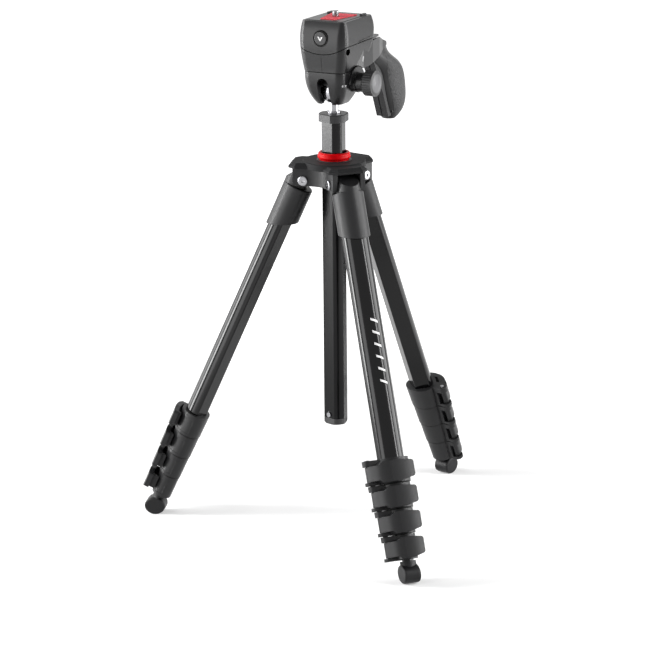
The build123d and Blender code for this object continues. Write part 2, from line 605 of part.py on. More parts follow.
def side_slab(points, half_width):
    """Extrude an outline drawn in the Y-Z plane to both sides."""
    return extrude(Plane.YZ * make_face(Polyline(*points, close=True)), amount=half_width, both=True)


def plan_slab(points, low, high):
    """Extrude an outline drawn in the X-Y plane, mirrored about the middle."""
    mirrored = [(-x, y) for x, y in reversed(points)]
    return upright(make_face(Polyline(*points, *mirrored, close=True)), low, high)


def arm_outline(reach, top):
    """Side outline of the arm: its underside out to a reach, closed over the top."""
    return [*ARM_UNDER, (reach, ARM_UNDER[-1][1] + ARM_TIP / 2), *top]


def arm():
    """Arm of the middle shell that reaches back to the grip."""
    top = [(ARM_END - ARM_TIP, ARM_TIP_TOP), (LIP_END, LIP_TOP), (ARM_UNDER[0][0], LIP_TOP)]
    tip = [(ARM_HALF_END + ARM_TIP / 2, ARM_END - 4 * ARM_TIP), (ARM_HALF_END, ARM_END - ARM_TIP / 2),
           (ARM_HALF_END - ARM_TIP / 2, ARM_END)]
    side = side_slab(arm_outline(ARM_END, top), 2 * ARM_END)
    plan = plan_slab([*ARM_PLAN, *tip], 0, HEAD_TOP)
    return side & plan


def upper_lip():
    """Flared lip of the upper shell along both sides and over the start of the arm."""
    outline = [(LIP_SIDE[0][0], SEAM_FRONT), *LIP_SIDE, (LIP_END, LIP_TOP), (LIP_END, SEAM_FRONT)]
    side = side_slab(outline, 2 * ARM_END)
    plan = plan_slab([*LIP_PLAN, (LIP_HALF_END, LIP_END)], 0, HEAD_TOP)
    return side & plan


def knob_axis(start, end, radius):
    """Round piece on the knob's axis, between two distances from the middle of the head."""
    return Pos((start + end) / 2, KNOB_Y, KNOB_Z) * (Rot(0, 90, 0) * Cylinder(radius, end - start))


def ball_cup():
    """Lower shell round the ball, with the slot that the stem drops into."""
    body = loft([section_face(*section) for section in CUP_SECTIONS])
    root = knob_axis(0, BOSS_OUT, BOSS_R)
    root -= Pos(0, 0, CUP_TOP + BOSS_R) * Box(4 * BOSS_OUT, 4 * BOSS_OUT, 2 * BOSS_R)
    body += root + knob_axis(BOSS_ROOT, BOSS_OUT, BOSS_R)
    arch = knob_axis(BOSS_ROOT, ARCH_OUT, ARCH_R)
    body += arch & Pos(0, KNOB_Y, KNOB_Z + ARCH_R) * Box(4 * BOSS_OUT, 4 * ARCH_R, 2 * ARCH_R)
    room = 4 * BALL_R
    cavity = Sphere(BALL_R + 2 * FREE_GAP + SEAT_WALL)
    cavity &= Pos(0, 0, (room - SEAT_EDGE) / 2) * Box(room, room, room)
    body -= cavity + Sphere(BALL_R + FREE_GAP)
    body -= Pos(0, 0, CUP_BOTTOM) * Cylinder(CUP_MOUTH_R, BALL_R)
    slot_height = SLOT_TOP - CUP_BOTTOM
    slot = Box(2 * SLOT_HALF, 2 * BALL_R, slot_height)
    slot = Pos(0, -BALL_R, SLOT_TOP - SLOT_HALF - slot_height / 2) * slot
    slot += Pos(0, -BALL_R, SLOT_TOP - SLOT_HALF) * (Rot(90, 0, 0) * Cylinder(SLOT_HALF, 2 * BALL_R))
    return body - slot - knob_axis(BOSS_OUT - SPINDLE_ROOT, BOSS_OUT, SPINDLE_R + RUNNING_GAP)


def ball_seat():
    """Hidden friction seat over the ball, open at the front for the stem."""
    shell = Sphere(BALL_R + FREE_GAP + SEAT_WALL) - Sphere(BALL_R + FREE_GAP)
    shell &= Pos(0, 0, SEAT_EDGE + BALL_R * 2) * Box(4 * BALL_R, 4 * BALL_R, 4 * BALL_R)
    return shell - Pos(0, -BALL_R, 0) * Box(2 * SLOT_HALF, 2 * BALL_R, 2 * (SLOT_HALF + 2 * FREE_GAP))


def shell_form():
    """Outer form of the middle and upper shells."""
    return loft([section_face(*section) for section in SHELL_SECTIONS])


def mid_housing():
    """Middle shell with the arm, arched over the knob's boss."""
    body = shell_form() + arm() - seam_cutter(-SEAM_GAP)
    below = Box(4 * ARM_END, 2 * ARM_END, 2 * ARM_END)
    body -= Pos(0, SHELL_BACK - ARM_END, CUP_TOP + SEAM_GAP - ARM_END) * below
    body -= knob_axis(BOSS_ROOT - SEAM_GAP, ARM_END, ARCH_R + SEAM_GAP)
    out = SHELL_SECTIONS[1][1] + SHELL_SCREW_DEPTH / 2
    hole = Rot(0, 0, SHELL_SCREW_AZIMUTH) * (Pos(0, -out, SHELL_SCREW_HEIGHT) * (
        Rot(90, 0, 0) * Cylinder(SHELL_SCREW_R, 2 * SHELL_SCREW_DEPTH)))
    return body - hole


def upper_housing():
    """Upper shell with the seat for the camera plate and the button bore."""
    body = (shell_form() + upper_lip()) & seam_cutter(0)
    depth = PLATE_THICK - PLATE_PROUD
    pocket = Pos(0, (PLATE_BACK - PLATE_FRONT) / 2, HEAD_TOP - depth / 2) * Box(
        2 * (PLATE_HALF + FREE_GAP), PLATE_FRONT + PLATE_BACK + 2 * FREE_GAP, depth)
    bore_length = BUTTON_LENGTH + BUTTON_TRAVEL + FREE_GAP
    front = SHELL_SECTIONS[2][2] + BUTTON_PROUD
    bore = Pos(0, -front + bore_length / 2, BUTTON_HEIGHT) * (
        Rot(90, 0, 0) * Cylinder(BUTTON_R + FREE_GAP, bore_length))
    return body - pocket - bore


def release_button():
    """Round button that frees the camera plate."""
    front = SHELL_SECTIONS[2][2] + BUTTON_PROUD
    body = Cylinder(BUTTON_R, BUTTON_LENGTH)
    body = fillet(body.edges().group_by(Axis.Z)[-1], BUTTON_EDGE)
    return Pos(0, -front + BUTTON_LENGTH / 2, BUTTON_HEIGHT) * (Rot(90, 0, 0) * body)


def camera_plate():
    """Quick-release plate with a raised stop at each back corner."""
    top = HEAD_TOP + PLATE_PROUD
    low = top - PLATE_THICK
    middle = (PLATE_BACK - PLATE_FRONT) / 2
    face = Pos(0, middle) * RectangleRounded(2 * PLATE_HALF, PLATE_FRONT + PLATE_BACK, PLATE_CORNER_R)
    body = upright(face, low, top)
    body = chamfer(body.edges().group_by(Axis.Z)[-1], PLATE_RIM)
    stop_x = PLATE_HALF - PLATE_RIM - STOP_WIDTH / 2
    for side in (-1, 1):
        stop = Pos(side * stop_x, STOP_Y) * Rectangle(STOP_WIDTH, STOP_LENGTH)
        body += upright(stop, top - STOP_HEIGHT, top + STOP_HEIGHT)
    body -= upright(pad_face(0), top - PAD_T + PAD_PROUD, top)
    bore = Pos(0, CAMERA_SCREW_Y) * Circle(CAMERA_SCREW_R + RUNNING_GAP)
    head_room = Pos(0, CAMERA_SCREW_Y) * Circle(CAMERA_SCREW_HEAD_R + FREE_GAP)
    body -= upright(bore, low, top)
    return body - upright(head_room, low, low + FREE_GAP + CAMERA_SCREW_HEAD_T + RUNNING_GAP)


def pad_face(shrink):
    """Outline of the grip pad, wider at the back."""
    front_half = PAD_FRONT_HALF - shrink
    back_half = PAD_BACK_HALF - shrink
    front = -PAD_FRONT + shrink
    back = PAD_BACK - shrink
    corners = ((-front_half, front), (front_half, front), (back_half, back), (-back_half, back))
    return make_face(Polyline(*corners, close=True))


def plate_pad():
    """Rubber pad under the camera."""
    top = HEAD_TOP + PLATE_PROUD + PAD_PROUD
    hole = Pos(0, CAMERA_SCREW_Y) * Circle(CAMERA_SCREW_R + FREE_GAP)
    return upright(pad_face(RUNNING_GAP) - hole, top - PAD_T, top)


def camera_screw():
    """Captive tripod screw, with an undercut neck in the plate."""
    low = HEAD_TOP + PLATE_PROUD - PLATE_THICK + FREE_GAP
    seat = HEAD_TOP + PLATE_PROUD + PAD_PROUD
    thread = upright(Circle(CAMERA_SCREW_R), seat, CAMERA_SCREW_TOP)
    thread = chamfer(thread.edges().group_by(Axis.Z)[-1], SCREW_TIP)
    neck = upright(Circle(SCREW_NECK_R), low, seat)
    return Pos(0, CAMERA_SCREW_Y, 0) * (
        thread + neck + upright(Circle(CAMERA_SCREW_HEAD_R), low, low + CAMERA_SCREW_HEAD_T))


def grip_form():
    """Outer form of the grip."""
    return loft([Pos(0, middle, height) * Ellipse(half_width, half_depth)
                 for height, middle, half_depth, half_width in GRIP_SECTIONS])


# front edge of the trigger from the arm to its pivot
TRIGGER_TOP = (65.0, 18.6)
TRIGGER_BEND = (85.4, -17.0)
TRIGGER_END = (96.0, -41.0)


def trigger_pivot():
    """Pin of the trigger, near the lower end of the grip."""
    return TRIGGER_END[0] + TRIGGER_PIVOT_DEPTH, TRIGGER_END[1] + TRIGGER_PIVOT_RISE


def trigger_outline(room, depth=TRIGGER_DEPTH):
    """Side outline of the trigger blade, or of its channel with room to swing."""
    top_y, top_z = TRIGGER_TOP
    bend_y, bend_z = TRIGGER_BEND
    end_y, end_z = TRIGGER_END
    ahead = room / 2
    below = room / 6
    return [(top_y - ahead, top_z + ahead), (bend_y - ahead, bend_z), (end_y - ahead, end_z - below),
            (end_y + depth + below, end_z - below), (bend_y + depth + room, bend_z),
            (top_y + depth + room, top_z + ahead)]


def grip_trigger():
    """Blade in the front of the grip that frees the ball."""
    body = side_slab(trigger_outline(0), TRIGGER_HALF)
    pivot_y, pivot_z = trigger_pivot()
    strip = [(y - TRIGGER_GROOVE_DEPTH, z) for y, z in trigger_outline(0, 2 * TRIGGER_GROOVE_DEPTH)]
    hole = Rot(0, 90, 0) * Cylinder(TRIGGER_PIVOT_R + RUNNING_GAP, 4 * TRIGGER_HALF)
    return body - side_slab(strip, TRIGGER_GROOVE_HALF) - Pos(0, pivot_y, pivot_z) * hole


def grip_body():
    """Moulded grip with the channel for the trigger."""
    body = grip_form() - seam_cutter(-SEAM_GAP - GRIP_TOP_GAP) - arm_relief()
    body -= side_slab(trigger_outline(TRIGGER_ROOM), TRIGGER_HALF + FREE_GAP)
    pivot_y, pivot_z = trigger_pivot()
    return body + Pos(0, pivot_y, pivot_z) * (
        Rot(0, 90, 0) * Cylinder(TRIGGER_PIVOT_R, 2 * (TRIGGER_HALF + TRIGGER_PIN_END)))


def arm_relief():
    """Space that the arm takes out of the top of the grip."""
    beyond = 2 * ARM_END
    return side_slab(arm_outline(beyond, [(beyond, beyond), (ARM_UNDER[0][0], beyond)]), beyond)


def lock_knob():
    """Ribbed knob with a domed cap."""
    length = KNOB_OUT - KNOB_IN
    drum = Pos(0, 0, length / 2) * Cylinder(KNOB_R, length)
    drum = chamfer(drum.edges().group_by(Axis.Z)[0], KNOB_RIM)
    groove = Pos(KNOB_R + KNOB_RIB_R / 2, 0, length / 2 - KNOB_RIM) * Cylinder(KNOB_RIB_R, length)
    drum -= [Rot(0, 0, index * 360 / KNOB_RIBS) * groove for index in range(KNOB_RIBS)]
    cap_r = KNOB_R - KNOB_RIM
    dome_r = (cap_r ** 2 + KNOB_DOME ** 2) / (2 * KNOB_DOME)
    dome = Pos(0, 0, length + KNOB_DOME - dome_r) * Sphere(dome_r)
    dome &= Pos(0, 0, length + KNOB_DOME) * Box(4 * cap_r, 4 * cap_r, 2 * KNOB_DOME)
    socket = Pos(0, 0, SPINDLE_END / 2) * Cylinder(SPINDLE_R + RUNNING_GAP, SPINDLE_END + 2 * FREE_GAP)
    body = drum + dome - socket
    return Pos(KNOB_IN, KNOB_Y, KNOB_Z) * (Rot(0, 90, 0) * body)


def knob_spindle():
    """Fixed sleeve that the knob turns on."""
    body = knob_axis(BOSS_OUT - SPINDLE_ROOT, KNOB_IN + SPINDLE_END, SPINDLE_R)
    return body + knob_axis(BOSS_OUT, KNOB_IN - FREE_GAP, SPINDLE_COLLAR_R)


def ball_stem():
    """Stem with a flange that stands in the cap."""
    low = -BALL_RISE - STEM_DEPTH + STEM_END_GAP
    body = upright(Circle(STEM_R), low, STEM_IN_BALL - BALL_R)
    return body + upright(Circle(STEM_FLANGE_R), -BALL_RISE, -BALL_RISE + STEM_FLANGE_T)


def ball():
    """Ball on the stem."""
    return Sphere(BALL_R) - Pos(0, 0, -BALL_R) * Cylinder(STEM_R + RUNNING_GAP / 2, 2 * STEM_IN_BALL)


BALL_Z = CAP_TOP + BALL_RISE


def build():
    """Every piece, by the name of its node, round the column axis."""
    pieces = {
        "spider_hub": spider_hub(), "spider_plate": spider_plate(), "leg_bolts": leg_bolts(),
        "column_bush": column_bush(), "clamp_washer": clamp_washer(), "clamp_ring": clamp_ring(),
        "column_tube": column_tube(), "column_cap": column_cap(), "column_plug": column_plug(),
        "plug_screw": plug_screw(),
    }
    head = {
        "ball_stem": ball_stem(), "ball": ball(), "ball_seat": ball_seat(), "ball_cup": ball_cup(),
        "mid_housing": mid_housing(), "upper_housing": upper_housing(), "camera_plate": camera_plate(),
        "plate_pad": plate_pad(), "camera_screw": camera_screw(), "release_button": release_button(),
        "grip_body": grip_body(), "grip_trigger": grip_trigger(), "lock_knob": lock_knob(),
        "knob_spindle": knob_spindle(),
    }
    pieces.update({name: Pos(0, 0, BALL_Z) * (Rot(0, 0, HEAD_PAN) * shape) for name, shape in head.items()})
    last = LOCK_COUNT + 1
    leg = {"casting": leg_casting(), "tube_1": leg_tube(1), "collar_1": collar(1)}
    for number in range(2, last):
        leg[f"section_{number}"] = Compound(children=[leg_tube(number), collar(number)])
    leg[f"section_{last}"] = leg_tube(last)
    leg["foot"] = foot()
    for number in range(1, last):
        leg[f"lever_{number}"] = Compound(children=list(lever(number)))
    for leg_name, azimuth in zip(LEG_NAMES, LEG_AZIMUTHS):
        pieces.update({f"{leg_name}_{name}": leg_place(azimuth, shape) for name, shape in leg.items()})
    return pieces


def footprint_shift(pieces):
    """Move that puts the middle of the whole footprint, on the ground, at the origin."""
    boxes = [shape.bounding_box() for shape in pieces.values()]
    low = [min(tuple(box.min)[axis] for box in boxes) for axis in range(3)]
    high = [max(tuple(box.max)[axis] for box in boxes) for axis in range(3)]
    return (-(low[0] + high[0]) / 2, -(low[1] + high[1]) / 2, -low[2])


os.makedirs("parts", exist_ok=True)
PIECES = build()
SHIFT = footprint_shift(PIECES)
for node, piece in PIECES.items():
    export_step(Pos(*SHIFT) * piece, f"parts/{node}.step")
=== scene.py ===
"""Studio scene of a travel tripod with a pistol-grip ball head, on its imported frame.

Lengths are in metres and angles in degrees, apart from the outlines noted below.
"""

import json
import logging
from dataclasses import dataclass, field
from enum import Enum
from math import cos, pi, radians, sin

import bmesh
import bpy
from mathutils import Matrix, Vector

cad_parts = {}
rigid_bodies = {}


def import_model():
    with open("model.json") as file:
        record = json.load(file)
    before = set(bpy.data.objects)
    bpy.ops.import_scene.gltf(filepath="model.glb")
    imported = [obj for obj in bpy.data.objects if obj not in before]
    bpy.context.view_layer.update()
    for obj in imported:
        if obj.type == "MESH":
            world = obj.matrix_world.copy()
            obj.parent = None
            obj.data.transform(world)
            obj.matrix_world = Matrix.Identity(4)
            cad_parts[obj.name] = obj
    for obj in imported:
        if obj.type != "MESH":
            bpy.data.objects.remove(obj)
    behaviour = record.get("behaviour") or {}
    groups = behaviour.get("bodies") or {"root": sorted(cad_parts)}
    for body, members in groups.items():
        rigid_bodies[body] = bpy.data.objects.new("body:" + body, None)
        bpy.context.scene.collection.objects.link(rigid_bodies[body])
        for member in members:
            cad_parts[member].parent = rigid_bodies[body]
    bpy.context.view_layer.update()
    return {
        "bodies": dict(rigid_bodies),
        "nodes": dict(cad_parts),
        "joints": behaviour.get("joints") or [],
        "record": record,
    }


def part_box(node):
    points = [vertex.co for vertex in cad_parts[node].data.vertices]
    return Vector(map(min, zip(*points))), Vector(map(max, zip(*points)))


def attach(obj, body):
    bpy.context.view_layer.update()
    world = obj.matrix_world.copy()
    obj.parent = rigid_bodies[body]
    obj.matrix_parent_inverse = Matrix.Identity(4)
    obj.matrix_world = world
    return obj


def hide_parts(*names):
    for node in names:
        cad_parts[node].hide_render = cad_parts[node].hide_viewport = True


LOG = logging.getLogger("tripod")

Socket = bpy.types.NodeSocket
Triple = tuple[float, float, float]
Color = tuple[float, float, float, float]
Outline = list[tuple[float, float]]

MM = 0.001
WELD = 0.001 * MM
LEGS = ("front", "left", "right")
LOCKS = (1, 2, 3, 4)
FRONT_AZIMUTH = -21.32
WHITE = (1, 1, 1, 1)
UPRIGHT = Vector((0, 0, 1))
FORWARD = Vector((0, -1, 0))

# Display colour to linear light.
SRGB_KNEE = 0.04045
SRGB_SLOPE = 12.92
SRGB_OFFSET = 0.055
SRGB_POWER = 2.4

# Colour sockets of the mix node.
MIX_FIRST, MIX_SECOND, MIX_RESULT = 6, 7, 2

# Patches of roughness across one cloud of tone, and rays for a softened edge.
ROUGH_PATCHES = 3
EDGE_RAYS = 4

# Worn edges: where they show, how patchy they are, and how much paler.
WEAR_REACH = 1.6
WEAR_SPAN = (0.02, 0.25)
PATCH_SIZE = 3 * MM
PATCH_DETAIL = 4.0
PATCH_SPAN = (0.35, 0.75)
WORN_GAIN = 1.9
WORN_LIFT = 0.02

# Outlines of the small marks: the arrowhead in half widths, the others in millimetres.
ARROW = [(-1, 0.55), (0, -0.95), (1, 0.55), (0.45, 0.55), (0, -0.2), (-0.45, 0.55)]
LOCK_BAR = [(-0.9, -1.0), (0.9, -1.0), (0.9, 1.0), (-0.9, 1.0)]
LOCK_BAR_SHIFT = 1.5
ARM_TICK = [(-0.5, -2.4), (0.5, -2.4), (1.5, 2.4), (-0.5, 2.4)]


def linear(red: float, green: float, blue: float) -> Color:
    """Turn a display colour of 0 to 255 into linear light with full alpha.

    Args:
        red: Red, 0 to 255.
        green: Green, 0 to 255.
        blue: Blue, 0 to 255.

    Returns:
        The linear colour and an alpha of 1.
    """
    def channel(value: float) -> float:
        """Turn one channel into linear light.

        Args:
            value: The channel, 0 to 255.

        Returns:
            Its light, 0 to 1.
        """
        share = value / 255
        if share <= SRGB_KNEE:
            return share / SRGB_SLOPE
        return ((share + SRGB_OFFSET) / (1 + SRGB_OFFSET)) ** SRGB_POWER

    return channel(red), channel(green), channel(blue), 1.0


def toned(color: Color, gain: float, lift: float = 0.0) -> Color:
    """Scale and lift a linear colour, never beyond full light, with an alpha of 1."""
    red, green, blue = (min(1.0, part * gain + lift) for part in color[:3])
    return red, green, blue, 1.0


class MaterialGraph:
    """A node material under construction."""

    def __init__(self, name: str) -> None:
        """Start a material with a Principled shader and its output.

        Args:
            name: Name of the material.
        """
        self.material = bpy.data.materials.new(name)
        self.material.use_nodes = True
        self.tree = self.material.node_tree
        self.tree.nodes.clear()
        output = self.node("ShaderNodeOutputMaterial")
        self.shader = self.node("ShaderNodeBsdfPrincipled")
        self.feed(output, "Surface", self.shader.outputs["BSDF"])

    def node(
        self, kind: str, *values: object, settings: dict | None = None, **inputs: object
    ) -> bpy.types.Node:
        """Add a node and fill its sockets.

        Args:
            kind: Blender's node type.
            *values: Values or sources of its first sockets, in order.
            settings: Properties of the node itself.
            **inputs: Socket names, with _ for a blank, and their values or sources.

        Returns:
            The new node.
        """
        made = self.tree.nodes.new(kind)
        for key, value in (settings or {}).items():
            setattr(made, key, value)
        for socket, value in enumerate(values):
            self.feed(made, socket, value)
        for key, value in inputs.items():
            self.feed(made, key.replace("_", " "), value)
        return made

    def feed(self, target: bpy.types.Node, socket: str | int, value: object) -> None:
        """Link a source to a socket, or set the socket's value.

        Args:
            target: Node that owns the socket.
            socket: Name or number of the socket.
            value: Output socket to link, or a plain value.
        """
        place = target.inputs[socket]
        if isinstance(value, Socket):
            self.tree.links.new(value, place)
        else:
            place.default_value = value

    def shade(self, **inputs: object) -> bpy.types.Material:
        """Fill the shader's own sockets.

        Args:
            **inputs: Socket names, with _ for a blank, and their values or sources.

        Returns:
            The material.
        """
        for key, value in inputs.items():
            self.feed(self.shader, key.replace("_", " "), value)
        return self.material

    def math(self, operation: str, *values: object) -> Socket:
        """Combine numbers or their sources by one of Blender's operations."""
        made = self.node("ShaderNodeMath", *values, settings={"operation": operation})
        return made.outputs[0]

    def vector(self, operation: str, *values: object) -> Socket:
        """Work a number out from vectors.

        Args:
            operation: Blender's name of the operation.
            *values: Vectors or their sources.

        Returns:
            The number's socket.
        """
        settings = {"operation": operation}
        made = self.node("ShaderNodeVectorMath", *values, settings=settings)
        return made.outputs["Value"]

    def ramp(self, source: object, low: float, high: float) -> Socket:
        """Map a span smoothly to 0 to 1.

        Args:
            source: Number to map.
            low: Value that becomes 0.
            high: Value that becomes 1.

        Returns:
            The mapped number's socket.
        """
        settings = {"interpolation_type": "SMOOTHSTEP"}
        made = self.node("ShaderNodeMapRange", source, low, high, settings=settings)
        return made.outputs["Result"]

    def mix(self, factor: object, first: object, second: object) -> Socket:
        """Mix two colours.

        Args:
            factor: Share of the second colour.
            first: First colour or source.
            second: Second colour or source.

        Returns:
            The mixed colour's socket.
        """
        made = self.node("ShaderNodeMix", factor, settings={"data_type": "RGBA"})
        self.feed(made, MIX_FIRST, first)
        self.feed(made, MIX_SECOND, second)
        return made.outputs[MIX_RESULT]

    def place(self) -> Socket:
        """Position on the piece, in metres in the shared frame."""
        return self.node("ShaderNodeTexCoord").outputs["Object"]

    def noise(self, size: float, detail: float = 3.0) -> Socket:
        """Cloudy noise.

        Args:
            size: Size of its features, in metres.
            detail: Number of finer layers.

        Returns:
            The noise's socket, 0 to 1.
        """
        made = self.node(
            "ShaderNodeTexNoise", Vector=self.place(), Scale=1 / size, Detail=detail
        )
        return made.outputs["Fac"]

    def rounded(self, radius: float) -> Socket:
        """Normals with their edges softened to a radius."""
        settings = {"samples": EDGE_RAYS}
        return self.node("ShaderNodeBevel", settings=settings, Radius=radius).outputs[0]

    def bump(self, height: Socket, depth: float, normal: Socket) -> Socket:
        """Bend the normals by a height.

        Args:
            height: Height's socket, 0 to 1.
            depth: Depth of a full step, in metres.
            normal: Normal to start from.

        Returns:
            The normal's socket.
        """
        made = self.node(
            "ShaderNodeBump", Height=height, Distance=depth, Strength=1.0, Normal=normal
        )
        return made.outputs["Normal"]


@dataclass(frozen=True)
class Finish:
    """A finish with fine grain, slight clouds of tone and soft, lightly worn edges."""

    name: str
    color: Triple
    roughness: float
    metallic: float = 0.0
    specular: float = 0.5
    grain_size: float = 0.5 * MM
    grain_depth: float = 0.02 * MM
    cloud: float = 0.10
    cloud_size: float = 12 * MM
    rough_spread: float = 0.05
    edge_radius: float = 0.4 * MM
    wear: float = 0.25

    def tone(self, graph: MaterialGraph) -> Socket:
        """Colour with clouds and worn edges.

        Args:
            graph: Material under construction.

        Returns:
            The colour's socket.
        """
        base = linear(*self.color)
        dark, light = toned(base, 1 - self.cloud), toned(base, 1 + self.cloud)
        clouds = graph.mix(graph.noise(self.cloud_size), dark, light)
        if not self.wear:
            return clouds
        flat = graph.node("ShaderNodeNewGeometry").outputs["Normal"]
        soft = graph.rounded(self.edge_radius * WEAR_REACH)
        agree = graph.vector("DOT_PRODUCT", flat, soft)
        edge = graph.ramp(graph.math("SUBTRACT", 1.0, agree), *WEAR_SPAN)
        patches = graph.ramp(graph.noise(PATCH_SIZE, PATCH_DETAIL), *PATCH_SPAN)
        shown = graph.math("MULTIPLY", edge, patches)
        worn = toned(base, WORN_GAIN, WORN_LIFT)
        return graph.mix(graph.math("MULTIPLY", shown, self.wear), clouds, worn)

    def relief(self, graph: MaterialGraph) -> Socket:
        """Normals with softened edges and grain."""
        soft = graph.rounded(self.edge_radius)
        return graph.bump(graph.noise(self.grain_size), self.grain_depth, soft)

    def material(self) -> bpy.types.Material:
        """Build the material.

        Returns:
            The material.
        """
        graph = MaterialGraph(self.name)
        patches = graph.noise(self.cloud_size / ROUGH_PATCHES)
        lowest = self.roughness - self.rough_spread / 2
        return graph.shade(
            Base_Color=self.tone(graph),
            Roughness=graph.math("MULTIPLY_ADD", patches, self.rough_spread, lowest),
            Metallic=self.metallic,
            Specular_IOR_Level=self.specular,
            Normal=self.relief(graph),
        )


@dataclass(frozen=True)
class Split:
    """A plane that parts two finishes on one piece."""

    point: Vector
    normal: Vector
    blur: float = 0.2 * MM

    def share(self, graph: MaterialGraph) -> Socket:
        """How far a place lies on the side that the normal points to.

        Args:
            graph: Material under construction.

        Returns:
            The share's socket, 0 to 1.
        """
        reach = graph.vector("DOT_PRODUCT", graph.place(), tuple(self.normal))
        level = self.point.dot(self.normal)
        return graph.ramp(reach, level - self.blur, level + self.blur)


@dataclass(frozen=True)
class Layer:
    """A finish that shows where every one of its splits is passed."""

    finish: Finish
    splits: tuple[Split, ...]


@dataclass(frozen=True)
class LayeredFinish:
    """A finish with others over it on parts of the piece."""

    name: str
    base: Finish
    layers: tuple[Layer, ...]

    def material(self) -> bpy.types.Material:
        """Build the material.

        Returns:
            The material.
        """
        graph = MaterialGraph(self.name)
        tone, normal = self.base.tone(graph), self.base.relief(graph)
        rough: Socket | float = self.base.roughness
        for layer in self.layers:
            finish = layer.finish
            share = layer.splits[0].share(graph)
            for split in layer.splits[1:]:
                share = graph.math("MULTIPLY", share, split.share(graph))
            tone = graph.mix(share, tone, finish.tone(graph))
            change = graph.math("SUBTRACT", finish.roughness, rough)
            rough = graph.math("MULTIPLY_ADD", share, change, rough)
            grain = graph.math("MULTIPLY", graph.noise(finish.grain_size), share)
            normal = graph.bump(grain, finish.grain_depth, normal)
        return graph.shade(
            Base_Color=tone,
            Roughness=rough,
            Metallic=self.base.metallic,
            Specular_IOR_Level=self.base.specular,
            Normal=normal,
        )


class FinishName(Enum):
    """Finishes by name, one material each."""

    CASTING = Finish(
        "satin_black_casting", (28, 28, 29), 0.4, specular=0.24,
        grain_size=0.7 * MM, grain_depth=0.03 * MM,
    )
    PLATE = Finish(
        "matte_black_plate", (26, 26, 27), 0.62, specular=0.1,
        grain_size=0.7 * MM, grain_depth=0.03 * MM,
    )
    SHELL = Finish(
        "matte_charcoal_shell", (20, 20, 21), 0.3, specular=0.26, grain_size=0.35 * MM,
        grain_depth=0.012 * MM, cloud=0.06, rough_spread=0.03, wear=0.1,
    )
    GRIP_GRAIN = Finish(
        "pebbled_grip", (30, 30, 31), 0.46, specular=0.3,
        grain_size=1.7 * MM, grain_depth=0.7 * MM, wear=0.0,
    )
    TRIGGER = Finish(
        "soft_black_trigger", (28, 28, 29), 0.5, specular=0.25,
        grain_size=0.6 * MM, grain_depth=0.03 * MM,
    )
    TUBE = Finish(
        "gloss_black_tube", (4, 4, 5), 0.13, specular=0.24, grain_size=3 * MM,
        grain_depth=0.005 * MM, cloud=0.3, rough_spread=0.03, wear=0.0,
    )
    LOCK = Finish("satin_black_lock", (26, 26, 27), 0.38, specular=0.24)
    FOOT = Finish(
        "soft_black_foot", (22, 22, 23), 0.42, specular=0.2,
        grain_size=0.8 * MM, grain_depth=0.03 * MM,
    )
    COLUMN = Finish("anodised_black_column", (4, 4, 5), 0.2, specular=0.18, wear=0.0)
    CAP = Finish("satin_black_cap", (34, 34, 35), 0.38, specular=0.3)
    CHROME = Finish(
        "polished_chrome", (146, 146, 149), 0.2, metallic=1.0, cloud=0.03, wear=0.0
    )
    RED = Finish(
        "gloss_red_ring", (186, 2, 9), 0.34, specular=0.07, cloud=0.05, wear=0.0
    )
    PAD = Finish(
        "soft_red_pad", (212, 66, 78), 0.62, specular=0.3, cloud=0.04, wear=0.1
    )
    KNOB = Finish("satin_black_knob", (34, 34, 35), 0.42, specular=0.32)
    KNOB_CAP = Finish(
        "satin_grey_cap", (80, 80, 82), 0.36, specular=0.35, cloud=0.04, wear=0.1
    )
    # Deep black: painted shade in the collar gaps and round the button, and the dark
    # front parting seam.
    SOCKET = Finish("deep_black", (6, 6, 6), 0.5, specular=0.1, wear=0.0)
    INK = Finish(
        "pale_ink", (226, 226, 226), 0.5, cloud=0.03, wear=0.0, grain_depth=0.005 * MM
    )
    GREY_INK = Finish(
        "grey_ink", (150, 150, 151), 0.5, cloud=0.03, wear=0.0, grain_depth=0.005 * MM
    )
    PLAIN = Finish("plain_black", (20, 20, 21), 0.5, wear=0.0)

    def get(self) -> bpy.types.Material:
        """Material of this finish, built once."""
        return bpy.data.materials.get(self.value.name) or self.value.material()


def dress(frame: dict, finish: FinishName | LayeredFinish, *nodes: str) -> None:
    """Give CAD nodes their finish.

    Args:
        finish: Finish to give, plain or layered.
        *nodes: Names of the nodes.
    """
    made = finish.get() if isinstance(finish, FinishName) else finish.material()
    for node in nodes:
        materials = frame["nodes"][node].data.materials
        materials.clear()
        materials.append(made)
        LOG.info("dressed %s", node)


def joint(frame: dict, name: str) -> dict:
    """A joint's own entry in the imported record."""
    joints = frame["record"]["behaviour"]["joints"]
    return next(entry for entry in joints if entry["name"] == name)


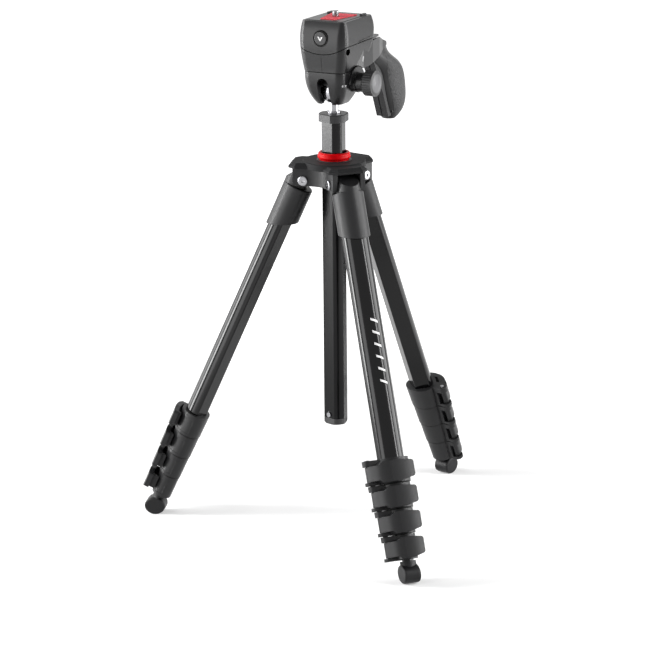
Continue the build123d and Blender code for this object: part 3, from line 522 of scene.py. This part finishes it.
@dataclass
class Bench:
    """A local frame on the part, in which small pieces are made and fixed."""

    frame: dict
    origin: Vector
    across: Vector
    up: Vector

    def matrix(self) -> Matrix:
        """The local frame's place in the part's frame.

        Returns:
            The placing matrix.
        """
        depth = self.up.cross(self.across).normalized()
        axes = (self.across.normalized(), depth, self.up.normalized())
        return Matrix.Translation(self.origin) @ Matrix(axes).transposed().to_4x4()

    def point(self, x: float, y: float, z: float) -> Vector:
        """A local place in the part's frame."""
        return self.matrix() @ Vector((x, y, z))

    def way(self, x: float, y: float, z: float) -> Vector:
        """A local direction in the part's frame, of length 1."""
        return (self.matrix().to_3x3() @ Vector((x, y, z))).normalized()

    def corners(self, node: str) -> list[Vector]:
        """Corners of a CAD node in the local frame."""
        back = self.matrix().inverted()
        return [back @ corner.co for corner in self.frame["nodes"][node].data.vertices]

    def box(self, node: str) -> tuple[Vector, Vector]:
        """Lowest and highest corner of a CAD node's box in the local frame."""
        spans = list(zip(*self.corners(node)))
        return Vector(tuple(map(min, spans))), Vector(tuple(map(max, spans)))

    def fix(
        self, mesh: bpy.types.Mesh, place: Matrix, body: str, slot: str,
        finish: FinishName,
    ) -> bpy.types.Object:
        """Put a small piece in its place on a body.

        Args:
            mesh: Its mesh, about its own origin, whose name it takes.
            place: Its place in the local frame.
            body: Body that it rides on.
            slot: Slot of the record that it belongs to; not used.
            finish: Finish to give.

        Returns:
            The piece.
        """
        mesh.materials.append(finish.get())
        piece = bpy.data.objects.new(mesh.name, mesh)
        bpy.context.scene.collection.objects.link(piece)
        piece.matrix_world = self.matrix() @ place
        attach(piece, body)
        LOG.info("fixed %s to %s", piece.name, body)
        return piece

    def touch(self, node: str, start: Triple, heading: Triple) -> tuple[Vector, Vector]:
        """Find where a straight line first meets a CAD node.

        Args:
            node: Name of the node.
            start: Start of the line, in the local frame.
            heading: Its direction, in the local frame.

        Returns:
            The place and the surface's direction there, in the local frame.

        Raises:
            ValueError: If the line misses the node.
        """
        back = self.matrix().inverted()
        piece = self.frame["nodes"][node]
        hit, place, normal, _ = piece.ray_cast(self.point(*start), self.way(*heading))
        if not hit:
            raise ValueError(f"nothing of {node} lies ahead of {start}")
        return back @ place, (back.to_3x3() @ normal).normalized()


def loft(
    name: str, rings: list[list], closed: bool = False, smooth: bool = False
) -> bpy.types.Mesh:
    """Join rings of points into a clean mesh with outward faces.

    Args:
        name: Name of the mesh.
        rings: Points of each ring, going round it, as many in every ring.
        closed: Whether the last ring joins the first; if not, both ends are capped.
        smooth: Whether to shade it smoothly.

    Returns:
        The mesh.
    """
    size = len(rings[0])
    points = [point for ring in rings for point in ring]
    faces = []
    for step in range(len(rings) if closed else len(rings) - 1):
        base, beyond = step * size, (step + 1) % len(rings) * size
        for index in range(size):
            after = (index + 1) % size
            faces.append((base + index, base + after, beyond + after, beyond + index))
    if not closed:
        faces += [tuple(range(size)), tuple(range(len(points) - size, len(points)))]
    mesh = bpy.data.meshes.new(name)
    mesh.from_pydata(points, [], faces)
    form = bmesh.new()
    form.from_mesh(mesh)
    bmesh.ops.remove_doubles(form, verts=form.verts, dist=WELD)
    bmesh.ops.recalc_face_normals(form, faces=form.faces)
    form.to_mesh(mesh)
    form.free()
    for face in mesh.polygons:
        face.use_smooth = smooth
    return mesh


def lathe(name: str, profile: Outline, steps: int = 64) -> bpy.types.Mesh:
    """Turn a closed profile about the Z axis.

    Args:
        name: Name of the mesh.
        profile: Radius and height of each corner, going round the section.
        steps: Number of steps round the axis.

    Returns:
        The mesh.
    """
    turns = [2 * pi * step / steps for step in range(steps)]
    rings = [
        [(radius * cos(turn), radius * sin(turn), height) for radius, height in profile]
        for turn in turns
    ]
    return loft(name, rings, closed=True)


def tile(name: str, outline: Outline, thickness: float) -> bpy.types.Mesh:
    """Raise a flat outline along Z, half above and half below its plane."""
    levels = (-thickness / 2, thickness / 2)
    return loft(name, [[(x, y, level) for x, y in outline] for level in levels])


def strip(near: float, far: float, sunk: float, proud: float) -> Outline:
    """Section of a thin strip on a surface: place across and height of each corner."""
    return [(near, -sunk), (near, proud), (far, proud), (far, -sunk)]


def facing(place: Vector, normal: Vector) -> Matrix:
    """Place a flat piece on a surface, with its Y axis leaning upward.

    Args:
        place: Where it goes.
        normal: Direction away from the surface.

    Returns:
        The placing matrix.
    """
    side = UPRIGHT.cross(normal).normalized()
    axes = Matrix((side, normal.cross(side), normal)).transposed()
    return Matrix.Translation(place) @ axes.to_4x4()


@dataclass
class Spider:
    """Hub, cover plate, hinge bolts, bush and the red clamp ring."""

    frame: dict

    def build(self) -> None:
        """Dress the hub group."""
        dress(self.frame, FinishName.CASTING, "spider_hub")
        dress(self.frame, FinishName.PLATE, "spider_plate")
        dress(self.frame, FinishName.CHROME, "leg_bolts")
        dress(self.frame, FinishName.PLAIN, "column_bush", "clamp_washer")
        dress(self.frame, FinishName.RED, "clamp_ring")


@dataclass
class Column:
    """Sliding centre column with its collar and end plug."""

    frame: dict

    def build(self) -> None:
        """Dress the column."""
        dress(self.frame, FinishName.COLUMN, "column_tube")
        dress(self.frame, FinishName.CAP, "column_cap")
        dress(self.frame, FinishName.PLAIN, "column_plug")
        dress(self.frame, FinishName.CHROME, "plug_screw")


@dataclass
class GripHead:
    """Ball head with its shells, grip, trigger, knob and quick-release plate."""

    frame: dict
    front_reach: float = 60 * MM
    side_reach: float = 80 * MM
    grain_top: tuple[float, float] = (100.0 * MM, 12.0 * MM)
    grain_top_way: Triple = (0, -0.45, -0.9)
    grain_front: tuple[float, float] = (96.0 * MM, -20.0 * MM)
    grain_front_way: Triple = (0, 0.93, 0.36)
    cap_depth: float = 1.8 * MM
    cap_line: float = 0.6 * MM
    bezel_gap: float = 0.15 * MM
    bezel_width: float = 1.3 * MM
    bezel_sunk: float = 1.2 * MM
    bezel_proud: float = 0.5 * MM
    bezel_side: float = 0.4
    bezel_lip: float = 0.5
    bezel_chamfer: float = 0.4 * MM
    ink: float = 0.16 * MM
    arrow_size: float = 2.6 * MM
    icon_azimuth: float = 50.0
    icon_height: float = 7.5 * MM
    tick_place: tuple[float, float] = (13.0 * MM, 27.5 * MM)
    seam_width: float = 0.35 * MM
    seam_sunk: float = 0.1 * MM
    seam_proud: float = 0.04 * MM
    seam_low: float = 20.0 * MM
    seam_high: float = 35.4 * MM
    seam_steps: int = 12
    flange: float = 1.8 * MM
    screw_chamfer: float = 0.5 * MM
    thread_radius: float = 3.175 * MM
    thread_pitch: float = 1.27 * MM
    thread_depth: float = 0.55 * MM
    thread_sunk: float = 0.1 * MM
    thread_slope: float = 0.44
    thread_flat: float = 0.06 * MM
    thread_from_pad: float = 0.3 * MM
    thread_from_tip: float = 0.7 * MM
    thread_steps: int = 24
    thread_fade: int = 6
    bench: Bench = field(init=False)

    def __post_init__(self) -> None:
        """Find the head's own frame, about the ball's centre."""
        tilt = joint(self.frame, "head_tilt")
        centre, axis = Vector(tilt["pos_m"]), Vector(tilt["axis"])
        self.bench = Bench(self.frame, centre, axis, UPRIGHT)

    def shells(self) -> None:
        """Dress the moulded shells, the ball and its stem."""
        dress(
            self.frame, FinishName.SHELL,
            "ball_cup", "mid_housing", "upper_housing", "camera_plate", "knob_spindle",
        )
        dress(self.frame, FinishName.KNOB, "release_button")
        dress(self.frame, FinishName.PAD, "plate_pad")
        dress(self.frame, FinishName.TRIGGER, "grip_trigger")
        dress(self.frame, FinishName.PLAIN, "ball_seat")
        dress(self.frame, FinishName.CHROME, "ball_stem", "ball")

    def two_part(
        self, node: str, name: str, base: FinishName, over: FinishName, *splits: Split
    ) -> None:
        """Dress a node in two finishes, the second where every split is passed."""
        layer = Layer(over.value, splits)
        dress(self.frame, LayeredFinish(name, base.value, (layer,)), node)

    def grip(self) -> None:
        """Give the grip a smooth top and a pebbled lower panel."""
        point, way = self.bench.point, self.bench.way
        self.two_part(
            "grip_body", "two_part_grip", FinishName.SHELL, FinishName.GRIP_GRAIN,
            Split(point(0, *self.grain_top), way(*self.grain_top_way)),
            Split(point(0, *self.grain_front), way(*self.grain_front_way)),
        )

    def knob(self) -> None:
        """Give the knob a dark ribbed drum and a pale cap."""
        drum_end = self.bench.box("lock_knob")[1].x - self.cap_depth + self.cap_line
        self.two_part(
            "lock_knob", "two_part_knob", FinishName.KNOB, FinishName.KNOB_CAP,
            Split(self.bench.point(drum_end, 0, 0), self.bench.way(1, 0, 0)),
        )

    def button(self) -> None:
        """Add the bezel round the release button, in deep black that paints its
        recess's shade, and a small arrow on it.
        """
        low, high = self.bench.box("release_button")
        height = (high.z + low.z) / 2
        inner = (high.z - low.z) / 2 + self.bezel_gap
        outer = inner + self.bezel_width
        start = (outer, -self.front_reach, height)
        surface, _ = self.bench.touch("upper_housing", start, (0, 1, 0))
        profile = [
            (inner, -self.bezel_sunk),
            (outer, -self.bezel_sunk),
            (outer, self.bezel_proud * self.bezel_side),
            (outer - self.bezel_chamfer, self.bezel_proud),
            (inner, self.bezel_proud * self.bezel_lip),
        ]
        place = facing(Vector((0, surface.y, height)), FORWARD)
        # Bezel ring in deep black: partly a real ring, partly painted shade of the
        # recess round the button.
        bezel = lathe("button_bezel", profile)
        self.bench.fix(bezel, place, "head", "moulding", FinishName.SOCKET)
        outline = [(x * self.arrow_size, y * self.arrow_size) for x, y in ARROW]
        arrow = tile("button_arrow", outline, self.ink)
        place = facing(Vector((0, low.y, height)), FORWARD)
        self.bench.fix(arrow, place, "release_button", "moulding", FinishName.INK)

    def inked(
        self, name: str, node: str, outline: Outline, shift: float, start: Triple,
        heading: Triple,
    ) -> None:
        """Print a small grey mark on a shell.

        Args:
            name: Name of the mark.
            node: Shell that carries it.
            outline: Corners of the mark, in millimetres.
            shift: Sideways shift of the outline, in millimetres.
            start: Start of the line that finds its place, in the head's frame.
            heading: Direction of that line.
        """
        place, normal = self.bench.touch(node, start, heading)
        mark = tile(name, [((x + shift) * MM, y * MM) for x, y in outline], self.ink)
        place = facing(place, normal)
        self.bench.fix(mark, place, "head", "moulding", FinishName.GREY_INK)

    def marks(self) -> None:
        """Print the plain marks beside the knob and on the arm."""
        around, away = radians(self.icon_azimuth), self.side_reach
        heading = (-sin(around), cos(around), 0)
        start = (away * sin(around), -away * cos(around), self.icon_height)
        for number, shift in ((1, -LOCK_BAR_SHIFT), (3, LOCK_BAR_SHIFT)):
            name = f"lock_mark_{number}"
            self.inked(name, "ball_cup", LOCK_BAR, shift, start, heading)
        start = (away, *self.tick_place)
        self.inked("arm_tick", "mid_housing", ARM_TICK, 0, start, (-1, 0, 0))

    def front_seam(self) -> None:
        """Add the fine upright parting line on the front of the middle shell."""
        half = self.seam_width / 2
        section = strip(-half, half, self.seam_sunk, self.seam_proud)
        span = self.seam_high - self.seam_low
        rings = []
        for step in range(self.seam_steps + 1):
            height = self.seam_low + span * step / self.seam_steps
            start = (0, -self.front_reach, height)
            place, _ = self.bench.touch("mid_housing", start, (0, 1, 0))
            rings.append([(side, place.y - lift, place.z) for side, lift in section])
        seam, place = loft("front_seam", rings), Matrix.Identity(4)
        self.bench.fix(seam, place, "head", "moulding", FinishName.SOCKET)

    def thread(self, low: float, high: float, root: float) -> bpy.types.Mesh:
        """Wind the screw's thread, which fades out at both ends.

        Args:
            low: Height where it starts.
            high: Height that it stays below.
            root: Radius of the shaft.

        Returns:
            The mesh.
        """
        steps = int((high - low) / self.thread_pitch) * self.thread_steps
        half = self.thread_pitch * self.thread_slope
        buried = root - self.thread_sunk
        rings = []
        for step in range(steps + 1):
            turn = 2 * pi * step / self.thread_steps
            rise = low + self.thread_pitch * step / self.thread_steps
            fade = min(1.0, step / self.thread_fade, (steps - step) / self.thread_fade)
            tip = root + self.thread_depth * fade
            section = (
                (buried, 0.0), (tip, half - self.thread_flat),
                (tip, half + self.thread_flat), (buried, 2 * half),
            )
            rings.append([
                (radius * cos(turn), radius * sin(turn), rise + lift)
                for radius, lift in section
            ])
        return loft("camera_screw_thread", rings, smooth=True)

    def screw(self) -> None:
        """Build the camera screw with its real thread, in place of the plain shaft."""
        low, high = self.bench.box("camera_screw")
        pad_top = self.bench.box("plate_pad")[1].z
        middle = (low + high) / 2
        place = Matrix.Translation((middle.x, middle.y, low.z))
        head, height = (high.x - low.x) / 2, high.z - low.z
        root, chamfer = self.thread_radius - self.thread_depth, self.screw_chamfer
        core = [
            (0.0, 0.0), (head, 0.0), (head, self.flange), (root, self.flange),
            (root, height - chamfer), (root - chamfer, height), (0.0, height),
        ]
        turned = lathe("camera_screw_shaft", core)
        start = pad_top - low.z + self.thread_from_pad
        thread = self.thread(start, height - self.thread_from_tip, root)
        chrome = FinishName.CHROME
        shaft = self.bench.fix(turned, place, "camera_screw", "chrome", chrome)
        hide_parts("camera_screw")
        self.bench.fix(thread, place, "camera_screw", "chrome", chrome)

    def build(self) -> None:
        """Build the head's finish and its small parts."""
        self.shells()
        self.grip()
        self.knob()
        self.button()
        self.marks()
        self.front_seam()
        self.screw()


@dataclass
class Leg:
    """One leg: casting, tubes, collars, levers and foot."""

    frame: dict
    name: str
    collar_height: float = 22.0 * MM
    collar_start: float = 0.2 * MM
    collar_blur: float = 0.05 * MM
    # Half width and blur of the painted shade in the gaps between collars.
    gap_shade: float = 0.45 * MM
    gap_blur: float = 0.1 * MM
    pin_radius: float = 1.9 * MM
    pin_proud: float = 0.25 * MM
    pin_crown: float = 0.6
    pin_steps: int = 24
    bench: Bench = field(init=False)

    def __post_init__(self) -> None:
        """Find the leg's own frame, about its hinge and along its tube."""
        fold = joint(self.frame, f"{self.name}_leg_fold")
        down = Vector(joint(self.frame, f"{self.name}_section_2_slide")["axis"])
        hinge, axis = Vector(fold["pos_m"]), Vector(fold["axis"])
        self.bench = Bench(self.frame, hinge, axis, -down)

    def lever_pin(self, number: int) -> Vector:
        """Middle of a lever's pin in the leg's frame."""
        flip = joint(self.frame, f"{self.name}_lever_{number}_flip")
        return self.bench.matrix().inverted() @ Vector(flip["pos_m"])

    def split(self, height: float, side: int, blur: float) -> Split:
        """Plane across the leg, with a side of 1 for what is above and -1 for below."""
        return Split(self.bench.point(0, 0, height), self.bench.way(0, 0, side), blur)

    def painted_gap_shade(self, middle: float) -> Layer:
        """Painted shade in the gap at a collar's edge.

        Args:
            middle: Height of the gap along the leg.

        Returns:
            The layer.
        """
        above = self.split(middle - self.gap_shade, 1, self.gap_blur)
        below = self.split(middle + self.gap_shade, -1, self.gap_blur)
        return Layer(FinishName.SOCKET.value, (above, below))

    def collar(self, number: int, base: FinishName) -> LayeredFinish:
        """Finish of a collar, with painted shade in the gaps to its neighbours.

        Args:
            number: Number of the lock.
            base: Finish above the collar.

        Returns:
            The finish.
        """
        pin = self.lever_pin(number).z
        top, low = pin + self.collar_height / 2, pin - self.collar_height / 2
        below = self.split(top + self.collar_start, -1, self.collar_blur)
        layers = [Layer(FinishName.LOCK.value, (below,))]
        # Painted shade: deep black in the gaps to the neighbouring collars.
        if number > LOCKS[0]:
            layers.append(self.painted_gap_shade(top))
        if number < LOCKS[-1]:
            layers.append(self.painted_gap_shade(low))
        name = f"{self.name}_lock_{number}_finish"
        return LayeredFinish(name, base.value, tuple(layers))

    def sections(self) -> None:
        """Dress the tubes, each with the collar at its lower end like a lock."""
        first, last = f"{self.name}_tube_1", f"{self.name}_section_{len(LOCKS) + 1}"
        dress(self.frame, FinishName.TUBE, first, last)
        collar = self.collar(LOCKS[0], FinishName.LOCK)
        dress(self.frame, collar, f"{self.name}_collar_1")
        for number in LOCKS[1:]:
            collar = self.collar(number, FinishName.TUBE)
            dress(self.frame, collar, f"{self.name}_section_{number}")

    def pins(self) -> None:
        """Add the bright end of the top lever's pin."""
        pin = self.lever_pin(LOCKS[0])
        node = f"{self.name}_lever_1"
        near = 2 * self.pin_radius
        corners = self.bench.corners(node)
        top = max(place.z for place in corners if (place.xy - pin.xy).length < near)
        profile = [
            (0.0, -self.pin_proud), (self.pin_radius, -self.pin_proud),
            (self.pin_radius, 0.0), (self.pin_radius * self.pin_crown, self.pin_proud),
            (0.0, self.pin_proud),
        ]
        end = lathe(f"{self.name}_pin_end", profile, self.pin_steps)
        place = Matrix.Translation((pin.x, pin.y, top))
        self.bench.fix(end, place, node, "lock", FinishName.CHROME)

    def build(self) -> None:
        """Dress the leg and add its pin end."""
        dress(self.frame, FinishName.CASTING, f"{self.name}_casting")
        dress(self.frame, FinishName.FOOT, f"{self.name}_foot")
        levers = [f"{self.name}_lever_{number}" for number in LOCKS]
        dress(self.frame, FinishName.LOCK, *levers)
        self.sections()
        self.pins()


@dataclass
class HeightMarks:
    """Short slanted bars printed on the front leg's top tube."""

    leg: Leg
    node: str = "front_tube_1"
    first: float = 126.0 * MM
    spacing: float = 11.0 * MM
    count: int = 6
    sweep: float = 38.0
    width: float = 2.2 * MM
    slant: float = 3.0 * MM
    turn: float = 6.0
    steps: int = 8
    sunk: float = 0.05 * MM
    proud: float = 0.04 * MM
    reach: float = 60.0 * MM
    middle: float = field(init=False)

    def __post_init__(self) -> None:
        """Find the depth of the tube's middle."""
        low, high = self.leg.bench.box(self.node)
        self.middle = (low.y + high.y) / 2

    def surface(self, angle: float, height: float) -> tuple[Vector, Vector]:
        """Place and direction of the tube's face, seen from its own middle.

        Args:
            angle: Angle round the tube from its front, in radians.
            height: Height along the leg.

        Returns:
            The place and the face's direction, in the leg's frame.
        """
        away = Vector((sin(angle), -cos(angle), 0))
        start = Vector((0, self.middle, height)) + self.reach * away
        return self.leg.bench.touch(self.node, tuple(start), tuple(-away))

    def bar(self, index: int) -> bpy.types.Mesh:
        """One bar, laid round the tube.

        Args:
            index: Number of the bar, from the top.

        Returns:
            The mesh in the leg's frame.
        """
        top = -(self.first + index * self.spacing)
        section = strip(0.0, -self.width, self.sunk, self.proud)
        rings = []
        for step in range(self.steps + 1):
            share = step / self.steps - 0.5
            angle = radians(self.turn + share * self.sweep)
            ring = []
            for edge, lift in section:
                place, normal = self.surface(angle, top - share * self.slant + edge)
                ring.append(place + lift * normal)
            rings.append(ring)
        return loft(f"height_bar_{index + 1}", rings)

    def build(self) -> None:
        """Print the bars."""
        place = Matrix.Identity(4)
        for bar in map(self.bar, range(self.count)):
            self.leg.bench.fix(bar, place, "front_leg", "leg_tube", FinishName.INK)


@dataclass
class StudioCamera:
    """Long lens, a little above the head, looking slightly down."""

    lens: float = 143.78
    sensor: float = 36.0
    distance: float = 2297.0 * MM
    height: float = 839.0 * MM
    sideways: float = -0.8 * MM
    azimuth: float = FRONT_AZIMUTH
    pitch: float = 15.79
    yaw: float = -0.21
    roll: float = -0.54

    def build(self) -> None:
        """Make the camera and set it as the scene's."""
        low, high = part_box("clamp_ring")
        axis = (low + high) / 2
        pitch, yaw, roll = radians(self.pitch), radians(self.yaw), radians(self.roll)
        forward = Vector((sin(yaw) * cos(pitch), cos(yaw) * cos(pitch), -sin(pitch)))
        level = Vector((cos(yaw), -sin(yaw), 0))
        rise = level.cross(forward)
        right = cos(roll) * level + sin(roll) * rise
        up = -sin(roll) * level + cos(roll) * rise
        turn = Matrix.Rotation(radians(self.azimuth), 3, "Z")
        place = turn @ Vector((self.sideways, -self.distance, 0))
        place = Vector((axis.x + place.x, axis.y + place.y, self.height))
        view = turn @ Matrix((right, up, -forward)).transposed()
        data = bpy.data.cameras.new("studio_camera")
        data.lens = self.lens
        data.sensor_width = self.sensor
        camera = bpy.data.objects.new("studio_camera", data)
        bpy.context.scene.collection.objects.link(camera)
        camera.matrix_world = Matrix.Translation(place) @ view.to_4x4()
        bpy.context.scene.camera = camera


@dataclass(frozen=True)
class Lamp:
    """A soft rectangular lamp.

    Attributes:
        name: Name of the lamp.
        bearing: Degrees round from the camera's side, positive to its right.
        distance: Distance from the object's axis, in metres.
        height: Height above the floor, in metres.
        size: Width and height of the lamp, in metres.
        radiance: Brightness of its face.
        aim: Height that it looks at, in metres.
    """

    name: str
    bearing: float
    distance: float
    height: float
    size: tuple[float, float]
    radiance: float
    aim: float

    def build(self, azimuth: float) -> None:
        """Place the lamp.

        Args:
            azimuth: Direction of the camera's side, in degrees.
        """
        data = bpy.data.lights.new(self.name, "AREA")
        data.shape = "RECTANGLE"
        data.size, data.size_y = self.size
        data.energy = self.radiance * pi * self.size[0] * self.size[1]
        lamp = bpy.data.objects.new(self.name, data)
        bpy.context.scene.collection.objects.link(lamp)
        around, away = radians(azimuth + self.bearing), self.distance
        lamp.location = (away * sin(around), -away * cos(around), self.height)
        look = Vector((0, 0, self.aim)) - lamp.location
        lamp.rotation_mode = "QUATERNION"
        lamp.rotation_quaternion = look.to_track_quat("-Z", "Y")


LAMPS = (
    Lamp("left_strip", -92, 1.6, 0.7, (0.34, 1.7), 26.0, 0.35),
    Lamp("left_panel", -58, 1.7, 0.5, (0.8, 1.2), 5.0, 0.3),
    Lamp("left_back_panel", -116, 1.6, 0.6, (0.7, 1.4), 4.5, 0.3),
    Lamp("right_strip", 68, 1.6, 0.8, (0.2, 1.8), 22.0, 0.4),
    Lamp("right_panel", 98, 1.6, 0.5, (0.9, 1.2), 8.0, 0.3),
)


@dataclass
class Studio:
    """Pale floor, white surround and soft lamps."""

    azimuth: float = FRONT_AZIMUTH
    surround: float = 0.1
    floor_size: float = 30.0
    floor_tone: float = 0.82
    floor_roughness: float = 0.7
    floor_lift: float = 0.24
    fade_start: float = 0.45
    fade_end: float = 0.9

    @staticmethod
    def direct_rays(tree: bpy.types.NodeTree) -> Socket:
        """One for a ray of the eye, of a gloss or through glass, else nought.

        Args:
            tree: Node tree to build in.

        Returns:
            The factor's socket.
        """
        path = tree.nodes.new("ShaderNodeLightPath")
        share = path.outputs["Is Camera Ray"]
        for kind in ("Is Glossy Ray", "Is Transmission Ray"):
            larger = tree.nodes.new("ShaderNodeMath")
            larger.operation = "MAXIMUM"
            tree.links.new(share, larger.inputs[0])
            tree.links.new(path.outputs[kind], larger.inputs[1])
            share = larger.outputs[0]
        return share

    def world(self) -> None:
        """White surround for the eye and for gloss, dimmer light on the object."""
        world = bpy.data.worlds.new("studio")
        world.use_nodes = True
        tree = world.node_tree
        tree.nodes.clear()
        output = tree.nodes.new("ShaderNodeOutputWorld")
        mix = tree.nodes.new("ShaderNodeMixShader")
        tree.links.new(self.direct_rays(tree), mix.inputs[0])
        for place, strength in ((1, self.surround), (2, 1.0)):
            light = tree.nodes.new("ShaderNodeBackground")
            light.inputs["Color"].default_value = WHITE
            light.inputs["Strength"].default_value = strength
            tree.links.new(light.outputs[0], mix.inputs[place])
        tree.links.new(mix.outputs[0], output.inputs["Surface"])
        bpy.context.scene.world = world

    def floor(self) -> None:
        """Wide pale floor that takes the tripod's shadow, plain white further out."""
        far = self.floor_size
        corners = [(-far, -far, 0), (far, -far, 0), (far, far, 0), (-far, far, 0)]
        mesh = bpy.data.meshes.new("floor")
        mesh.from_pydata(corners, [], [(0, 1, 2, 3)])
        floor = bpy.data.objects.new("floor", mesh)
        bpy.context.scene.collection.objects.link(floor)
        graph = MaterialGraph("pale_floor")
        distance = graph.vector("LENGTH", graph.place())
        fade = graph.ramp(distance, self.fade_start, self.fade_end)
        lift = graph.math("MULTIPLY_ADD", fade, 1.0 - self.floor_lift, self.floor_lift)
        seen = self.direct_rays(graph.tree)
        material = graph.shade(
            Base_Color=(self.floor_tone, self.floor_tone, self.floor_tone, 1),
            Roughness=self.floor_roughness,
            Specular_IOR_Level=0.0,
            Emission_Color=WHITE,
            Emission_Strength=graph.math("MULTIPLY", seen, lift),
        )
        mesh.materials.append(material)

    def build(self) -> None:
        """Build floor, surround and lamps."""
        self.world()
        self.floor()
        for lamp in LAMPS:
            lamp.build(self.azimuth)
        bpy.context.scene.view_settings.view_transform = "Standard"


def main() -> None:
    """Load the frame, dress the tripod, and set up the studio."""
    logging.basicConfig(level=logging.INFO, format="%(message)s")
    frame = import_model()
    StudioCamera().build()
    Studio().build()
    Spider(frame).build()
    Column(frame).build()
    GripHead(frame).build()
    legs = {name: Leg(frame, name) for name in LEGS}
    for leg in legs.values():
        leg.build()
    HeightMarks(legs["front"]).build()


if __name__ == "__main__":
    main()
